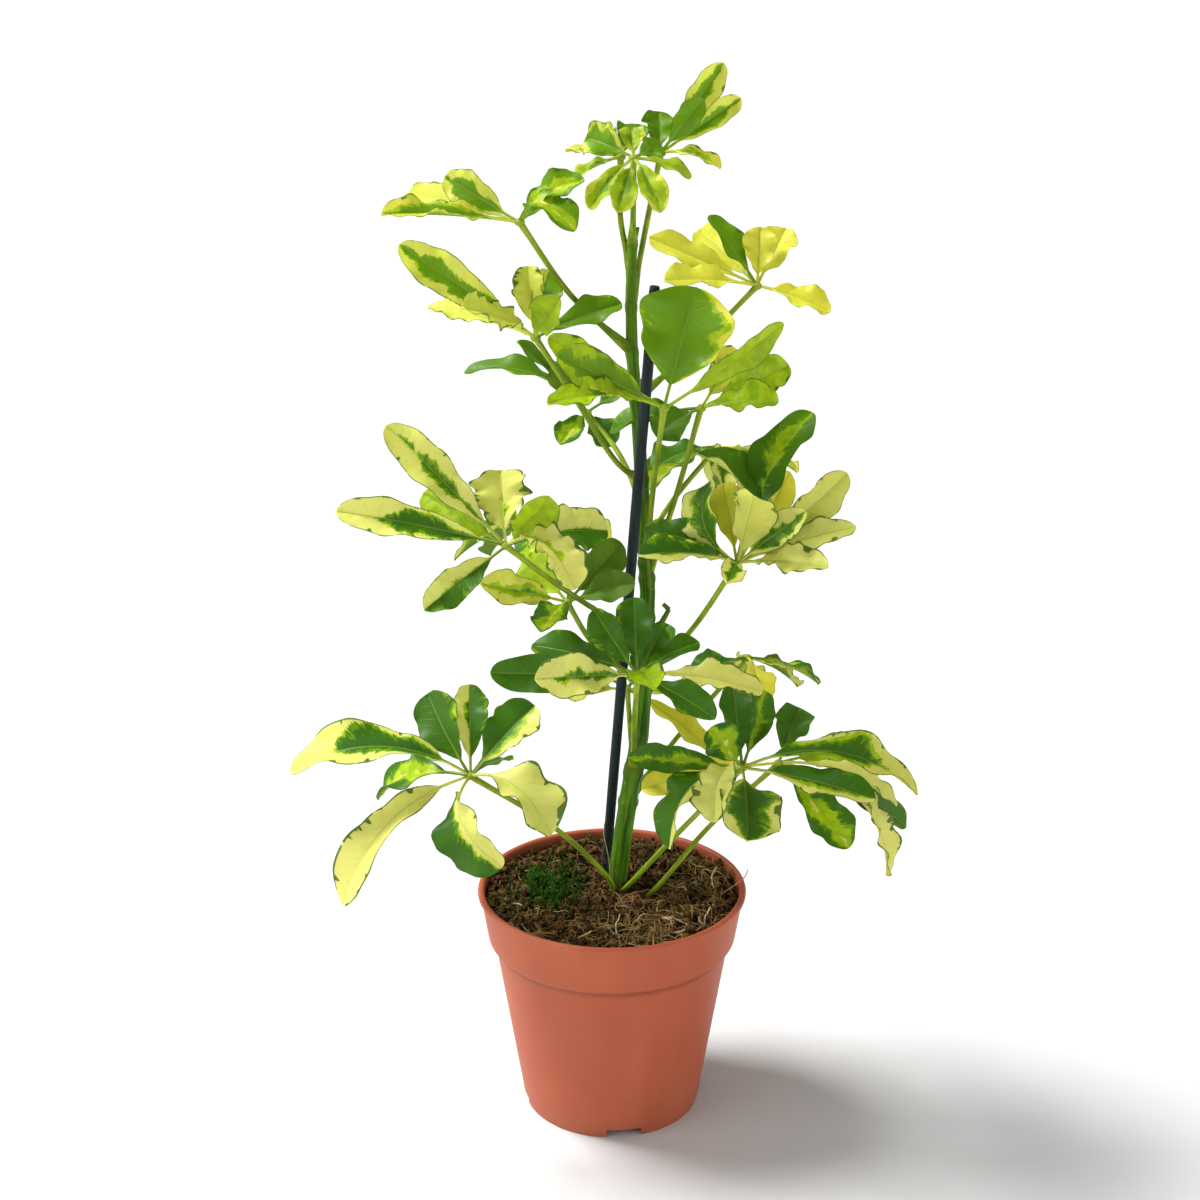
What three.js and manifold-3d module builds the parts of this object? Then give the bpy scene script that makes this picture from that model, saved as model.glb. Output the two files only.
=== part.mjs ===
// A young variegated umbrella plant in a nursery pot, with its soil and its stake.
// Millimetres, +Z up, the viewer's side is -Y. The origin is the centre of the pot's foot, on the floor.
import * as THREE from "three";
import { mergeVertices } from "three/addons/utils/BufferGeometryUtils.js";
import Module from "manifold-3d";

// ---- Driving dimensions: pot ----
const POT_HEIGHT = 105;
const RIM_RADIUS = 60;
const FOOT_RADIUS = 39.9;
const BODY_RADIUS = 52.5;
const COLLAR_RADIUS = 55.5;
const COLLAR_BOTTOM = 82;
const COLLAR_STEP = 3;
const WALL = 1.6;
const BEAD_HEIGHT = 2.6;
const BEAD_DEPTH = 1.3;
const FLOOR_BOTTOM = 4;
const FLOOR_TOP = 6;
const FOOT_WIDTH = 2.6;
const NOTCH_WIDTH = 16;
const NOTCH_HEIGHT = 3.7;
const NOTCH_COUNT = 4;
const FIRST_NOTCH_DEG = -82;
const DRAIN_RADIUS = 4;
const DRAIN_RING = 22;
const DRAIN_COUNT = 4;
const DRAIN_SIDES = 12;
const POT_SIDES = 36;

// ---- Driving dimensions: soil, stake, stem ----
const GAP = 0.3;
const SOIL_LEVEL = 100.5;
const SOIL_LUMP = 1.7;
const SOIL_MOUND = 2.2;
const SOIL_MOUND_RADIUS = 22;
const SOIL_RINGS = 6;
const SOIL_SECTORS = 32;
const STAKE_RADIUS = 2.25;
const STAKE_FOOT = [-9, 26.5, 15];
const STAKE_TOP = [16.3, -20.5, 377];
const STEM_SIDES = 8;
// The middle of the stem, from the root ball to the growing tip, and its radius there.
const STEM_PATH = [
  [1.5, 2, 64, 3.4],
  [1.9, 2, 100, 4.2],
  [5.2, 1, 132, 4.1],
  [8, 0.5, 152, 4.0],
  [12, 0, 177, 3.9],
  [13.4, 0, 200, 3.7],
  [15, 0, 243, 3.3],
  [13, 0, 279, 3.0],
  [10.6, 0, 315, 2.7],
  [7.8, 0, 347, 2.5],
  [7.2, -0.5, 372, 2.2],
  [8, -2, 400, 1.6],
];
const NODE_SWELL = 0.16;
const NODE_LENGTH = 3;

// ---- Driving dimensions: leaves ----
const STALK_RADIUS = 1.35;
const STALK_FOOT_RADIUS = 2.3;
const STALK_SIDES = 5;
const STALK_STEPS = 6;
const HUB_RADIUS = 2.3;
const RIB_THICKNESS = 1.3;
const LEAFLET_STALK = 12;
const LEAFLET_STALK_SHARE = 0.2;
const LEAST_HALF_WIDTH = 0.7;
const WAVE_HEIGHT = 0.11;
const WAVE_WIDTH = 0.06;
const WAVES = 1.4;
const MORE_WAVES = 0.8;
const MOST_TWIST_DEG = 18;
const FOLD_DEG = 16;
const MORE_FOLD_DEG = 10;
// A blade's half width is a sine of its length to the first power, raised to the second: widest past
// the middle, with a blunt tip and a wedge-shaped foot.
const WIDEST_POWER = 1.5;
const BLUNT_POWER = 0.5;
// How far the leaflets of a leaf on the far side hang, and how much each droops.
const WHORL_FALL_DEG = 18;
const WHORL_DROOP_DEG = 36;
// Where a leaflet's blade is cut across, from its foot to its tip.
const BLADE_CUTS = [0, 0.2, 0.42, 0.64, 0.86, 1];

// A leaf: the height where its stalk leaves the stem, points that the stalk passes, its hub, and its
// leaflets. A leaflet is [bearing, toward, length, width, roll, droop]. Seen from the front, bearing turns
// from the right (0) over the top (90) to the left (180), and toward leans to the viewer, all in degrees.
const LEAVES = {
  leaf_crown: {
    from: 390,
    via: [[8, -3, 408]],
    hub: [8, -4, 425],
    leaflets: [
      [-133, 25, 28, 11, -16, 45],
      [-110, 46, 28, 12, -19, 16],
      [-61, 43, 29, 12, 5, 50],
      [95, -59, 19, 12, 1, 10],
      [20, -35, 14, 11, 39, 30],
      [-18, 10, 24, 9, 4, 40],
      [161, -35, 24, 17, -40, 40],
    ],
  },
  leaf_crown_side: {
    from: 380,
    via: [[3, 3, 400]],
    hub: [3, 10, 424],
    leaflets: [
      [-156, 16, 21, 9, -5, 30],
      [135, -51, 21, 12, -18, 20],
      [177, -28, 25, 9, -3, 20],
      [53, -50, 21, 15, 10, 20],
    ],
  },
  leaf_crown_right: {
    from: 366,
    via: [[13, 3, 396]],
    hub: [19, 6, 426],
    leaflets: [
      [54, -11, 43, 13, 59, 6],
      [31, -28, 43, 11, 54, 6],
      [93, -43, 20, 15, -3, 12],
      [-12, 23, 26, 10, 13, 55],
      [53, 4, 27, 11, 72, 8],
    ],
  },
  leaf_upper_left: {
    from: 347,
    via: [[-17, -11, 372]],
    hub: [-37, -12, 401],
    leaflets: [
      [175, 14, 55, 18, 2, 14],
      [151, -19, 36, 16, -41, 14],
      [172, -40, 62, 14, -20, 20],
      [34, 15, 32, 15, 23, 78],
      [-1, 45, 31, 16, -14, 150],
      [5, -68, 37, 14, 28, 30],
    ],
  },
  leaf_upper_right: {
    from: 327,
    via: [[34, 14, 345]],
    hub: [61, 34, 368],
    leaflets: [
      [157, -7, 50, 14, -62, 8],
      [173, 22, 43, 17, -22, 20],
      [126, -16, 36, 15, -43, 8],
      [141, -49, 45, 17, -63, 16],
      [57, -41, 33, 17, -23, 12],
      [86, -28, 26, 16, -53, 10],
      [-17, 18, 33, 15, 48, 24],
    ],
  },
  leaf_high_left: {
    from: 293,
    via: [[3, -5, 300], [-14, -13, 328]],
    hub: [-31, -18, 356],
    leaflets: [
      [146, -4, 65, 17, -32, 18],
      [147, 43, 44, 18, -44, 24],
      [98, -37, 32, 15, 11, 10],
      [78, -47, 34, 14, 39, 14],
      [64, 42, 30, 15, 72, 30],
      [20, -9, 37, 14, 29, 30],
      [169, -26, 50, 12, 1, 30],
    ],
  },
  leaf_high_front: {
    from: 257,
    via: [[17, -16, 298]],
    hub: [20, -34, 331],
    leaflets: [
      [75, -12, 49, 39, 1, 8],
      [152, 5, 48, 18, -30, 12],
      [174, 17, 48, 16, 14, 50],
      [150, -13, 54, 14, -41, 14],
      [33, -16, 59, 13, 63, 14],
    ],
  },
  leaf_high_right: {
    from: 250,
    via: [[24, -3, 278]],
    hub: [36, -8, 325],
    leaflets: [
      [11, 25, 34, 17, 24, 30],
      [22, -20, 42, 17, 32, 16],
      [45, -57, 43, 16, 10, 16],
      [-151, 16, 22, 17, -10, 40],
      [-158, -29, 45, 17, -21, 26],
    ],
  },
  leaf_high_back: {
    from: 283,
    via: [[2, 20, 300]],
    hub: [-11, 44, 311],
    leaflets: [
      [163, -6, 56, 15, -31, 85],
      [133, 5, 44, 12, -56, 12],
      [121, 12, 28, 19, -120, 14],
      [19, -34, 35, 16, 30, 20],
      [-142, 57, 26, 13, -43, 24],
      [-47, 41, 21, 15, 22, 40],
    ],
  },
  leaf_middle_left: {
    from: 225,
    via: [[0, -15, 236], [-25, -30, 258]],
    hub: [-43, -40, 276],
    leaflets: [
      [136, -12, 68, 18, 8, 12],
      [167, 3, 69, 17, -15, 24],
      [-151, 40, 46, 15, -43, 12],
      [96, -34, 32, 27, 18, 14],
      [-20, 41, 39, 21, -39, 140],
      [7, -6, 41, 21, 13, 55],
      [155, -28, 43, 16, -12, 16],
      [53, 19, 31, 20, 84, 20],
    ],
  },
  leaf_middle_lower: {
    from: 200,
    via: [[-8, -10, 223]],
    hub: [-19, -16, 244],
    leaflets: [
      [158, 26, 42, 15, -43, 12],
      [133, -31, 27, 22, -27, 14],
      [45, -21, 34, 18, 51, 12],
      [-174, 73, 35, 15, -21, 30],
      [70, -66, 30, 16, 8, 16],
      [19, 4, 30, 14, 30, 20],
    ],
  },
  leaf_middle_right: {
    from: 206,
    via: [[32, -20, 232]],
    hub: [50, -38, 268],
    leaflets: [
      [83, 33, 41, 22, 62, 8],
      [169, 19, 43, 16, 8, 40],
      [163, -12, 40, 17, -2, 40],
      [110, -27, 35, 22, -82, 135],
      [111, -15, 47, 26, 15, 160],
      [62, -17, 68, 21, -43, 60],
      [53, -38, 48, 14, 15, 16],
      [39, -8, 57, 18, 38, 30],
      [10, 35, 42, 16, 8, 24],
      [20, 7, 50, 13, 4, 26],
      [155, 79, 35, 11, 9, 30],
      [99, -47, 38, 15, -30, 10],
      [45, 21, 39, 13, 25, 20],
    ],
  },
  leaf_low_front: {
    from: 162,
    via: [[9, -28, 192]],
    hub: [10, -46, 223],
    leaflets: [
      [126, -18, 32, 16, -41, 10],
      [93, -30, 32, 17, -3, 8],
      [-180, -2, 60, 17, -31, 12],
      [174, -27, 49, 17, 12, 20],
      [171, 28, 47, 19, -24, 20],
      [22, -20, 29, 12, -16, 34],
      [46, -60, 30, 15, 26, 14],
      [49, 75, 35, 15, 7, 50],
      [-6, 7, 51, 16, -14, 34],
      [-19, 34, 39, 15, -5, 22],
    ],
  },
  leaf_low_back: {
    from: 160,
    via: [[8, 15, 176]],
    hub: [7, 30, 187],
    leaflets: [
      [-34, 13, 46, 13, 29, 24],
      [162, -21, 34, 18, -19, 30],
      [117, -43, 38, 18, -1, 20],
      [48, -42, 39, 18, 20, 20],
      [34, -62, 34, 16, 27, 20],
      [-8, 7, 32, 14, 24, 30],
      [-162, -39, 42, 16, -57, 20],
    ],
  },
  leaf_base_left: {
    from: 98,
    via: [[-1, -5, 110], [-25, -17, 141]],
    hub: [-60, -32, 172],
    leaflets: [
      [176, 5, 75, 25, 10, 95],
      [-138, 20, 75, 24, -6, 90],
      [-60, 49, 45, 28, 22, 135],
      [-26, 30, 44, 28, -40, 120],
      [124, -34, 41, 22, -2, 24],
      [92, -37, 40, 17, 40, 16],
      [42, -29, 41, 22, 29, 24],
      [-42, -68, 50, 12, 41, 20],
      [-152, -33, 55, 22, 15, 60],
    ],
  },
  leaf_base_right: {
    from: 98,
    via: [[8, -5, 108], [24, -13, 131]],
    hub: [55, -26, 173],
    leaflets: [
      [172, 5, 49, 14, -18, 12],
      [-137, 23, 46, 21, 47, 140],
      [-147, 66, 39, 20, 52, 115],
      [-91, 70, 43, 30, 11, 24],
      [-8, 3, 75, 22, -10, 100],
      [-2, 28, 60, 16, 15, 22],
      [96, -42, 38, 16, -23, 16],
      [61, -54, 42, 14, 3, 16],
      [130, -10, 22, 19, -28, 20],
    ],
  },
  leaf_base_far_right: {
    from: 90,
    via: [[16, -7, 103], [43, -3, 135]],
    hub: [73, -2, 165],
    leaflets: [
      [-17, 11, 54, 17, 10, 66],
      [-45, 33, 48, 20, 43, 24],
      [-46, 7, 70, 20, 8, 112],
      [-30, -5, 67, 15, 29, 56],
      [-170, 4, 61, 18, -20, 30],
      [54, -54, 32, 18, -33, 20],
      [-6, -33, 48, 17, 13, 30],
    ],
  },
  leaf_back_high: {
    from: 264,
    via: [[26, 20, 278]],
    hub: [46, 42, 296],
    leaflets: whorl(6, 90, 46, 19),
  },
  leaf_back_left: {
    from: 232,
    via: [[-8, 22, 250]],
    hub: [-34, 46, 262],
    leaflets: whorl(7, 120, 47, 19),
  },
  leaf_back_right: {
    from: 146,
    via: [[30, 22, 168]],
    hub: [62, 47, 196],
    leaflets: whorl(6, 90, 43, 18),
  },
};

// ---- Small helpers ----
const radians = THREE.MathUtils.degToRad;
const vector = (p) => new THREE.Vector3(p[0], p[1], p[2]);
const wasm = await Module();
wasm.setup();

// The leaflets of a leaf seen only from behind, spread evenly round its hub and hanging a little.
function whorl(count, firstDeg, length, width) {
  const axis = new THREE.Vector3(0, 0.35, 1).normalize();
  const right = new THREE.Vector3(1, 0, 0);
  const back = axis.clone().cross(right);
  return Array.from({ length: count }, (_, i) => {
    const turn = THREE.MathUtils.degToRad(firstDeg + (360 * i) / count);
    const fall = THREE.MathUtils.degToRad(WHORL_FALL_DEG + 8 * (i % 2));
    const d = right
      .clone()
      .multiplyScalar(Math.cos(turn))
      .addScaledVector(back, Math.sin(turn))
      .multiplyScalar(Math.cos(fall))
      .addScaledVector(axis, -Math.sin(fall));
    const bearing = THREE.MathUtils.radToDeg(Math.atan2(d.z, d.x));
    const toward = THREE.MathUtils.radToDeg(Math.asin(-d.y));
    return [bearing, toward, length - 6 * (i % 3), width, 0, WHORL_DROOP_DEG];
  });
}

// A geometry as a solid that can be joined and cut.
function solid(geometry) {
  const bare = geometry.clone();
  bare.deleteAttribute("normal");
  bare.deleteAttribute("uv");
  const merged = mergeVertices(bare, 1e-4);
  const triVerts = new Uint32Array(merged.index.array);
  const vertProperties = merged.attributes.position.array;
  return new wasm.Manifold(new wasm.Mesh({ numProp: 3, vertProperties, triVerts }));
}

function geometryOf(manifold) {
  const mesh = manifold.getMesh();
  const geometry = new THREE.BufferGeometry();
  geometry.setAttribute("position", new THREE.BufferAttribute(mesh.vertProperties, 3));
  geometry.setIndex(new THREE.BufferAttribute(mesh.triVerts, 1));
  geometry.computeVertexNormals();
  return geometry;
}

// A closed skin over rings of points, all with the same count and turning anticlockwise as seen from
// the last ring. From the side named turned on, the four-sided patches are split along the other
// diagonal, so that the two faces of a thin blade are split alike.
function skin(rings, turned = Infinity) {
  const count = rings[0].length;
  const faces = [];
  for (let i = 0; i + 1 < rings.length; i++) {
    for (let j = 0; j < count; j++) {
      const a = i * count + j;
      const b = i * count + ((j + 1) % count);
      if (j < turned) faces.push(a, b, b + count, a, b + count, a + count);
      else faces.push(a, b, a + count, b, b + count, a + count);
    }
  }
  const last = (rings.length - 1) * count;
  for (let j = 1; j + 1 < count; j++) {
    faces.push(0, j + 1, j, last, last + j, last + j + 1);
  }
  const geometry = new THREE.BufferGeometry();
  const flat = rings.flat().flatMap((p) => [p.x, p.y, p.z]);
  geometry.setAttribute("position", new THREE.Float32BufferAttribute(flat, 3));
  geometry.setIndex(faces);
  return geometry;
}

// A round bar along points, with its radius at each.
function bar(points, radii, sides) {
  let side = new THREE.Vector3(0, 1, 0);
  const rings = points.map((p, i) => {
    const before = points[Math.max(i - 1, 0)];
    const after = points[Math.min(i + 1, points.length - 1)];
    const along = after.clone().sub(before).normalize();
    side = side.clone().addScaledVector(along, -side.dot(along)).normalize();
    const other = along.clone().cross(side);
    return Array.from({ length: sides }, (_, j) => {
      const turn = (2 * Math.PI * j) / sides;
      return p
        .clone()
        .addScaledVector(side, radii[i] * Math.cos(turn))
        .addScaledVector(other, radii[i] * Math.sin(turn));
    });
  });
  return skin(rings);
}

// ---- Pot ----
function potSolid() {
  const bodyTop = COLLAR_BOTTOM - COLLAR_STEP;
  const collarTop = POT_HEIGHT - BEAD_HEIGHT;
  const neckRadius = RIM_RADIUS - BEAD_DEPTH;
  const profile = [
    [0, FLOOR_BOTTOM],
    [FOOT_RADIUS - FOOT_WIDTH, FLOOR_BOTTOM],
    [FOOT_RADIUS - FOOT_WIDTH, 0],
    [FOOT_RADIUS, 0],
    [BODY_RADIUS, bodyTop],
    [COLLAR_RADIUS, COLLAR_BOTTOM],
    [neckRadius, collarTop],
    [RIM_RADIUS, collarTop + 0.6],
    [RIM_RADIUS, POT_HEIGHT - 0.7],
    [RIM_RADIUS - 0.8, POT_HEIGHT],
    [neckRadius - WALL + 0.6, POT_HEIGHT],
    [neckRadius - WALL, POT_HEIGHT - 0.8],
    [COLLAR_RADIUS - WALL, COLLAR_BOTTOM],
    [BODY_RADIUS - WALL, bodyTop],
    [FOOT_RADIUS - WALL + 1, FLOOR_TOP],
    [0, FLOOR_TOP],
  ].map(([r, z]) => new THREE.Vector2(r, z));
  let pot = solid(new THREE.LatheGeometry(profile, POT_SIDES).rotateX(Math.PI / 2));
  for (let i = 0; i < NOTCH_COUNT; i++) {
    const notch = new THREE.BoxGeometry(12, NOTCH_WIDTH, 2 * NOTCH_HEIGHT)
      .translate(FOOT_RADIUS, 0, 0)
      .rotateZ(radians(FIRST_NOTCH_DEG + (360 * i) / NOTCH_COUNT));
    pot = pot.subtract(solid(notch));
  }
  for (let i = 0; i < DRAIN_COUNT; i++) {
    const drain = new THREE.CylinderGeometry(DRAIN_RADIUS, DRAIN_RADIUS, 20, DRAIN_SIDES)
      .rotateX(Math.PI / 2)
      .translate(DRAIN_RING, 0, 5)
      .rotateZ((2 * Math.PI * i) / DRAIN_COUNT);
    pot = pot.subtract(solid(drain));
  }
  return pot;
}

// The radius of the pot's inner wall at a height, less the gap to the soil.
function soilRadius(z) {
  const low = FOOT_RADIUS - WALL + 1;
  const bodyTop = COLLAR_BOTTOM - COLLAR_STEP;
  const body = low + ((BODY_RADIUS - WALL - low) * (z - FLOOR_TOP)) / (bodyTop - FLOOR_TOP);
  return body - GAP;
}

// ---- Soil: a round body with a lumpy top ----
function soilTop(x, y) {
  const slow = Math.sin(0.19 * x + 1.3) * Math.cos(0.23 * y - 0.4);
  const quick = Math.sin(0.61 * x + 0.37 * y) * Math.cos(0.53 * y - 0.29 * x + 2);
  const mound = SOIL_MOUND * Math.exp(-(x * x + y * y) / SOIL_MOUND_RADIUS ** 2);
  return SOIL_LEVEL + mound + SOIL_LUMP * (0.55 * slow + 0.45 * quick);
}

function soilBody() {
  const edge = RIM_RADIUS - BEAD_DEPTH - WALL - GAP - 0.8;
  const around = (radius, height) =>
    Array.from({ length: SOIL_SECTORS }, (_, j) => {
      const turn = (2 * Math.PI * j) / SOIL_SECTORS;
      const x = radius * Math.cos(turn);
      const y = radius * Math.sin(turn);
      return new THREE.Vector3(x, y, height(x, y));
    });
  const bodyTop = COLLAR_BOTTOM - COLLAR_STEP;
  const rings = [
    around(soilRadius(FLOOR_TOP + GAP), () => FLOOR_TOP + GAP),
    around(soilRadius(bodyTop), () => bodyTop + GAP),
    around(COLLAR_RADIUS - WALL - 2 * GAP, () => COLLAR_BOTTOM + 2 * GAP),
    around(edge, (x, y) => soilTop(x, y) - 1),
  ];
  for (let i = SOIL_RINGS - 1; i >= 0; i--) {
    rings.push(around((edge * (i + 0.5)) / SOIL_RINGS, soilTop));
  }
  return solid(skin(rings));
}

// ---- Stem and stake ----
// The middle of the stem at a height, and the stem's radius there.
function stemAt(z) {
  const i = Math.max(1, STEM_PATH.findIndex((p) => p[2] > z));
  const [low, high] = [STEM_PATH[i - 1], STEM_PATH[i]];
  const share = (z - low[2]) / (high[2] - low[2]);
  const swell = Object.values(LEAVES).reduce((most, leaf) => {
    const near = Math.abs(leaf.from - z) / NODE_LENGTH;
    return Math.max(most, NODE_SWELL * Math.max(0, 1 - near));
  }, 0);
  const radius = THREE.MathUtils.lerp(low[3], high[3], share) * (1 + swell);
  return { middle: vector(low).lerp(vector(high), share), radius };
}

// The stem's heights: one at each bend, three at each swollen node.
function stemHeights() {
  const bottom = STEM_PATH[0][2];
  const top = STEM_PATH.at(-1)[2];
  const nodes = Object.values(LEAVES).flatMap((leaf) => [
    leaf.from - NODE_LENGTH,
    leaf.from,
    leaf.from + NODE_LENGTH,
  ]);
  const all = [...STEM_PATH.map((p) => p[2]), ...nodes].sort((a, b) => a - b);
  return all.filter(
    (z, i) => z >= bottom && z < top && (i === 0 || z - all[i - 1] > 1.9),
  );
}

function stemSolid(extra) {
  const heights = stemHeights();
  const points = heights.map((z) => stemAt(z).middle);
  const radii = heights.map((z) => stemAt(z).radius + extra);
  points.push(vector(STEM_PATH.at(-1)).add(new THREE.Vector3(0, 0, extra)));
  radii.push(STEM_PATH.at(-1)[3] * 0.4 + extra);
  return solid(bar(points, radii, STEM_SIDES));
}

function stakeSolid(extra) {
  const ends = [vector(STAKE_FOOT), vector(STAKE_TOP)];
  const radius = STAKE_RADIUS + extra;
  return solid(bar(ends, [radius, radius], STEM_SIDES));
}

// ---- Leaves ----
// Numbers from 0 to 1 that differ from leaflet to leaflet, the same on each run.
function chances(leafIndex, leafletIndex) {
  const x = Math.sin((leafIndex + 1) * 12.9898 + (leafletIndex + 1) * 78.233) * 43758.5453;
  return [1, 1.7, 2.3, 3.1, 4.7].map((m) => THREE.MathUtils.euclideanModulo(x * m, 1));
}

// A leaf's own up direction: upward, leaning out from the stem and a little to the viewer.
function leafAxis(hub) {
  return new THREE.Vector3((hub.x - 10) * 0.012, hub.y * 0.012 - 0.25, 1).normalize();
}

// A leaflet grows along an arched midrib. Its blade is widest past the middle, folded up a little along
// the midrib, twisted toward the tip, and waved in height and in outline along both edges.
function leaflet(hub, axis, row, chance) {
  const [bearing, toward, , , roll] = row.map(radians);
  const length = row[2];
  const width = row[3];
  const along = new THREE.Vector3(
    Math.cos(bearing) * Math.cos(toward),
    -Math.sin(toward),
    Math.sin(bearing) * Math.cos(toward),
  );
  const flatUp = axis.clone().addScaledVector(along, -axis.dot(along)).normalize();
  const flatSide = flatUp.clone().cross(along);
  const side = flatSide.clone().multiplyScalar(Math.cos(roll)).addScaledVector(flatUp, Math.sin(roll));
  const up = flatUp.clone().multiplyScalar(Math.cos(roll)).addScaledVector(flatSide, -Math.sin(roll));
  const rise = (length * radians(row[5])) / 8;
  const stalk = Math.min(LEAFLET_STALK, LEAFLET_STALK_SHARE * length) / length;
  const fold = radians(FOLD_DEG + MORE_FOLD_DEG * chance[1]);
  const start = (0.4 * HUB_RADIUS) / length;
  const rings = [start, ...BLADE_CUTS.map((q) => stalk + (1 - stalk) * q)].map((t) => {
    const q = Math.max(0, (t - stalk) / (1 - stalk));
    const slope = (4 * rise * (1 - 2 * t)) / length;
    const middle = hub
      .clone()
      .addScaledVector(along, length * t)
      .addScaledVector(up, 4 * rise * t * (1 - t));
    const normal = up.clone().addScaledVector(along, -slope).normalize();
    const twist = radians(MOST_TWIST_DEG) * (chance[0] - 0.5) * q;
    const across = side.clone().multiplyScalar(Math.cos(twist)).addScaledVector(normal, Math.sin(twist));
    const above = normal.clone().multiplyScalar(Math.cos(twist)).addScaledVector(side, -Math.sin(twist));
    const share = Math.max(0, Math.sin(Math.PI * q ** WIDEST_POWER)) ** BLUNT_POWER;
    const half = Math.max((width / 2) * share, LEAST_HALF_WIDTH);
    const swing = WAVE_HEIGHT * width * Math.sqrt(Math.max(0, Math.sin(Math.PI * q)));
    const edge = (sign, phase) => {
      const height = swing * Math.sin(2 * Math.PI * ((WAVES + MORE_WAVES * chance[4]) * q + phase));
      const notch = Math.sin(2 * Math.PI * (1.5 * (WAVES + MORE_WAVES * chance[1]) * q + 2 * phase));
      const reach = 1 + WAVE_WIDTH * notch;
      return middle
        .clone()
        .addScaledVector(across, sign * half * Math.cos(fold) * reach)
        .addScaledVector(above, half * Math.sin(fold) + height);
    };
    const lower = middle.clone().addScaledVector(above, -RIB_THICKNESS / 2);
    const upper = middle.clone().addScaledVector(above, RIB_THICKNESS / 2);
    return [edge(-1, chance[3]), lower, edge(1, chance[2]), upper];
  });
  return solid(skin(rings, 2));
}

function stalkPoints(leaf) {
  const route = [stemAt(leaf.from).middle, ...leaf.via.map(vector), vector(leaf.hub)];
  return new THREE.CatmullRomCurve3(route).getPoints(STALK_STEPS);
}

function stalkSolid(leaf, extra) {
  const radii = Array.from({ length: STALK_STEPS + 1 }, (_, i) =>
    THREE.MathUtils.lerp(STALK_FOOT_RADIUS, STALK_RADIUS, Math.min(1, (2.5 * i) / STALK_STEPS)),
  );
  return solid(bar(stalkPoints(leaf), radii.map((r) => r + extra), STALK_SIDES));
}

function leafSolid(leaf, index) {
  const hub = vector(leaf.hub);
  const knob = new THREE.IcosahedronGeometry(HUB_RADIUS, 0).translate(hub.x, hub.y, hub.z);
  const blades = leaf.leaflets.map((row, i) => leaflet(hub, leafAxis(hub), row, chances(index, i)));
  return blades.reduce((sum, blade) => sum.add(blade), solid(knob).add(stalkSolid(leaf, 0)));
}

// ---- The whole plant ----
const potPlastic = new THREE.MeshStandardMaterial({ color: 0xbe6444, roughness: 0.6, metalness: 0 });
const peat = new THREE.MeshStandardMaterial({ color: 0x3a2a1a, roughness: 1, metalness: 0 });
const stakeGreen = new THREE.MeshStandardMaterial({ color: 0x1d2d2c, roughness: 0.6, metalness: 0 });
const stemGreen = new THREE.MeshStandardMaterial({ color: 0x5d7a26, roughness: 0.55, metalness: 0 });
const leafGreen = new THREE.MeshStandardMaterial({ color: 0x5f9030, roughness: 0.4, metalness: 0 });

const plant = new THREE.Group();

function addPiece(name, manifold, material) {
  const mesh = new THREE.Mesh(geometryOf(manifold), material);
  mesh.name = name;
  plant.add(mesh);
}

const grownStem = stemSolid(GAP);
const inSoil = [grownStem, stakeSolid(GAP)];
Object.values(LEAVES)
  .filter((leaf) => leaf.from < SOIL_LEVEL)
  .forEach((leaf) => inSoil.push(stalkSolid(leaf, GAP)));

addPiece("pot", potSolid(), potPlastic);
addPiece("soil", inSoil.reduce((rest, cutter) => rest.subtract(cutter), soilBody()), peat);
addPiece("stake", stakeSolid(0), stakeGreen);
addPiece("stem", stemSolid(0), stemGreen);
Object.entries(LEAVES).forEach(([name, leaf], index) => {
  addPiece(name, leafSolid(leaf, index).subtract(grownStem), leafGreen);
});

export default plant;
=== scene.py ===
"""A young variegated umbrella plant in a nursery pot, with its soil, moss, root fibres, stake and stem.

Every piece is a surface worked out with numpy, in millimetres, and put into its mesh in metres. The viewer's
side is -Y, and the middle of the pot's foot stands at the origin.
"""

import bpy
import numpy as np
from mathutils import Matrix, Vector


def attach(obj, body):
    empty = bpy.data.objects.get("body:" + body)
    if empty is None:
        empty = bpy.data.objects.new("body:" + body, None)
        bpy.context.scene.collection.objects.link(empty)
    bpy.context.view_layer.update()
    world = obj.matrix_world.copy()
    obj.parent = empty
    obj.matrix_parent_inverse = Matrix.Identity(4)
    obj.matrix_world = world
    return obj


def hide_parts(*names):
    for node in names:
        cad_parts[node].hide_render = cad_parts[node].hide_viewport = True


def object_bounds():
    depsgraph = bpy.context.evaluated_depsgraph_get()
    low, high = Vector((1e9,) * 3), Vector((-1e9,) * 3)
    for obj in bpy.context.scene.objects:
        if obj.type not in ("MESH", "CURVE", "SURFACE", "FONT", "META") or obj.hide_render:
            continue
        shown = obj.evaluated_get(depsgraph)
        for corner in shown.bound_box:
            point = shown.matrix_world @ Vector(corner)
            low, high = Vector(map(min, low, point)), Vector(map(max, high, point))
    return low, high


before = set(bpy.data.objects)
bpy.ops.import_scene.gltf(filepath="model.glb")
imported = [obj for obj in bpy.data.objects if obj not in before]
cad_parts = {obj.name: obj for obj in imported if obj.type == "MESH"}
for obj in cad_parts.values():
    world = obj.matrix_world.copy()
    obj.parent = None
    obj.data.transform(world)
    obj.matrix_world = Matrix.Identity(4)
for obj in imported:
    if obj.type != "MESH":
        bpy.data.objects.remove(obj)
cad_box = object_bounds()
MM = 0.001
LOW, HIGH = (np.array(corner) / MM for corner in cad_box)

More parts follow.
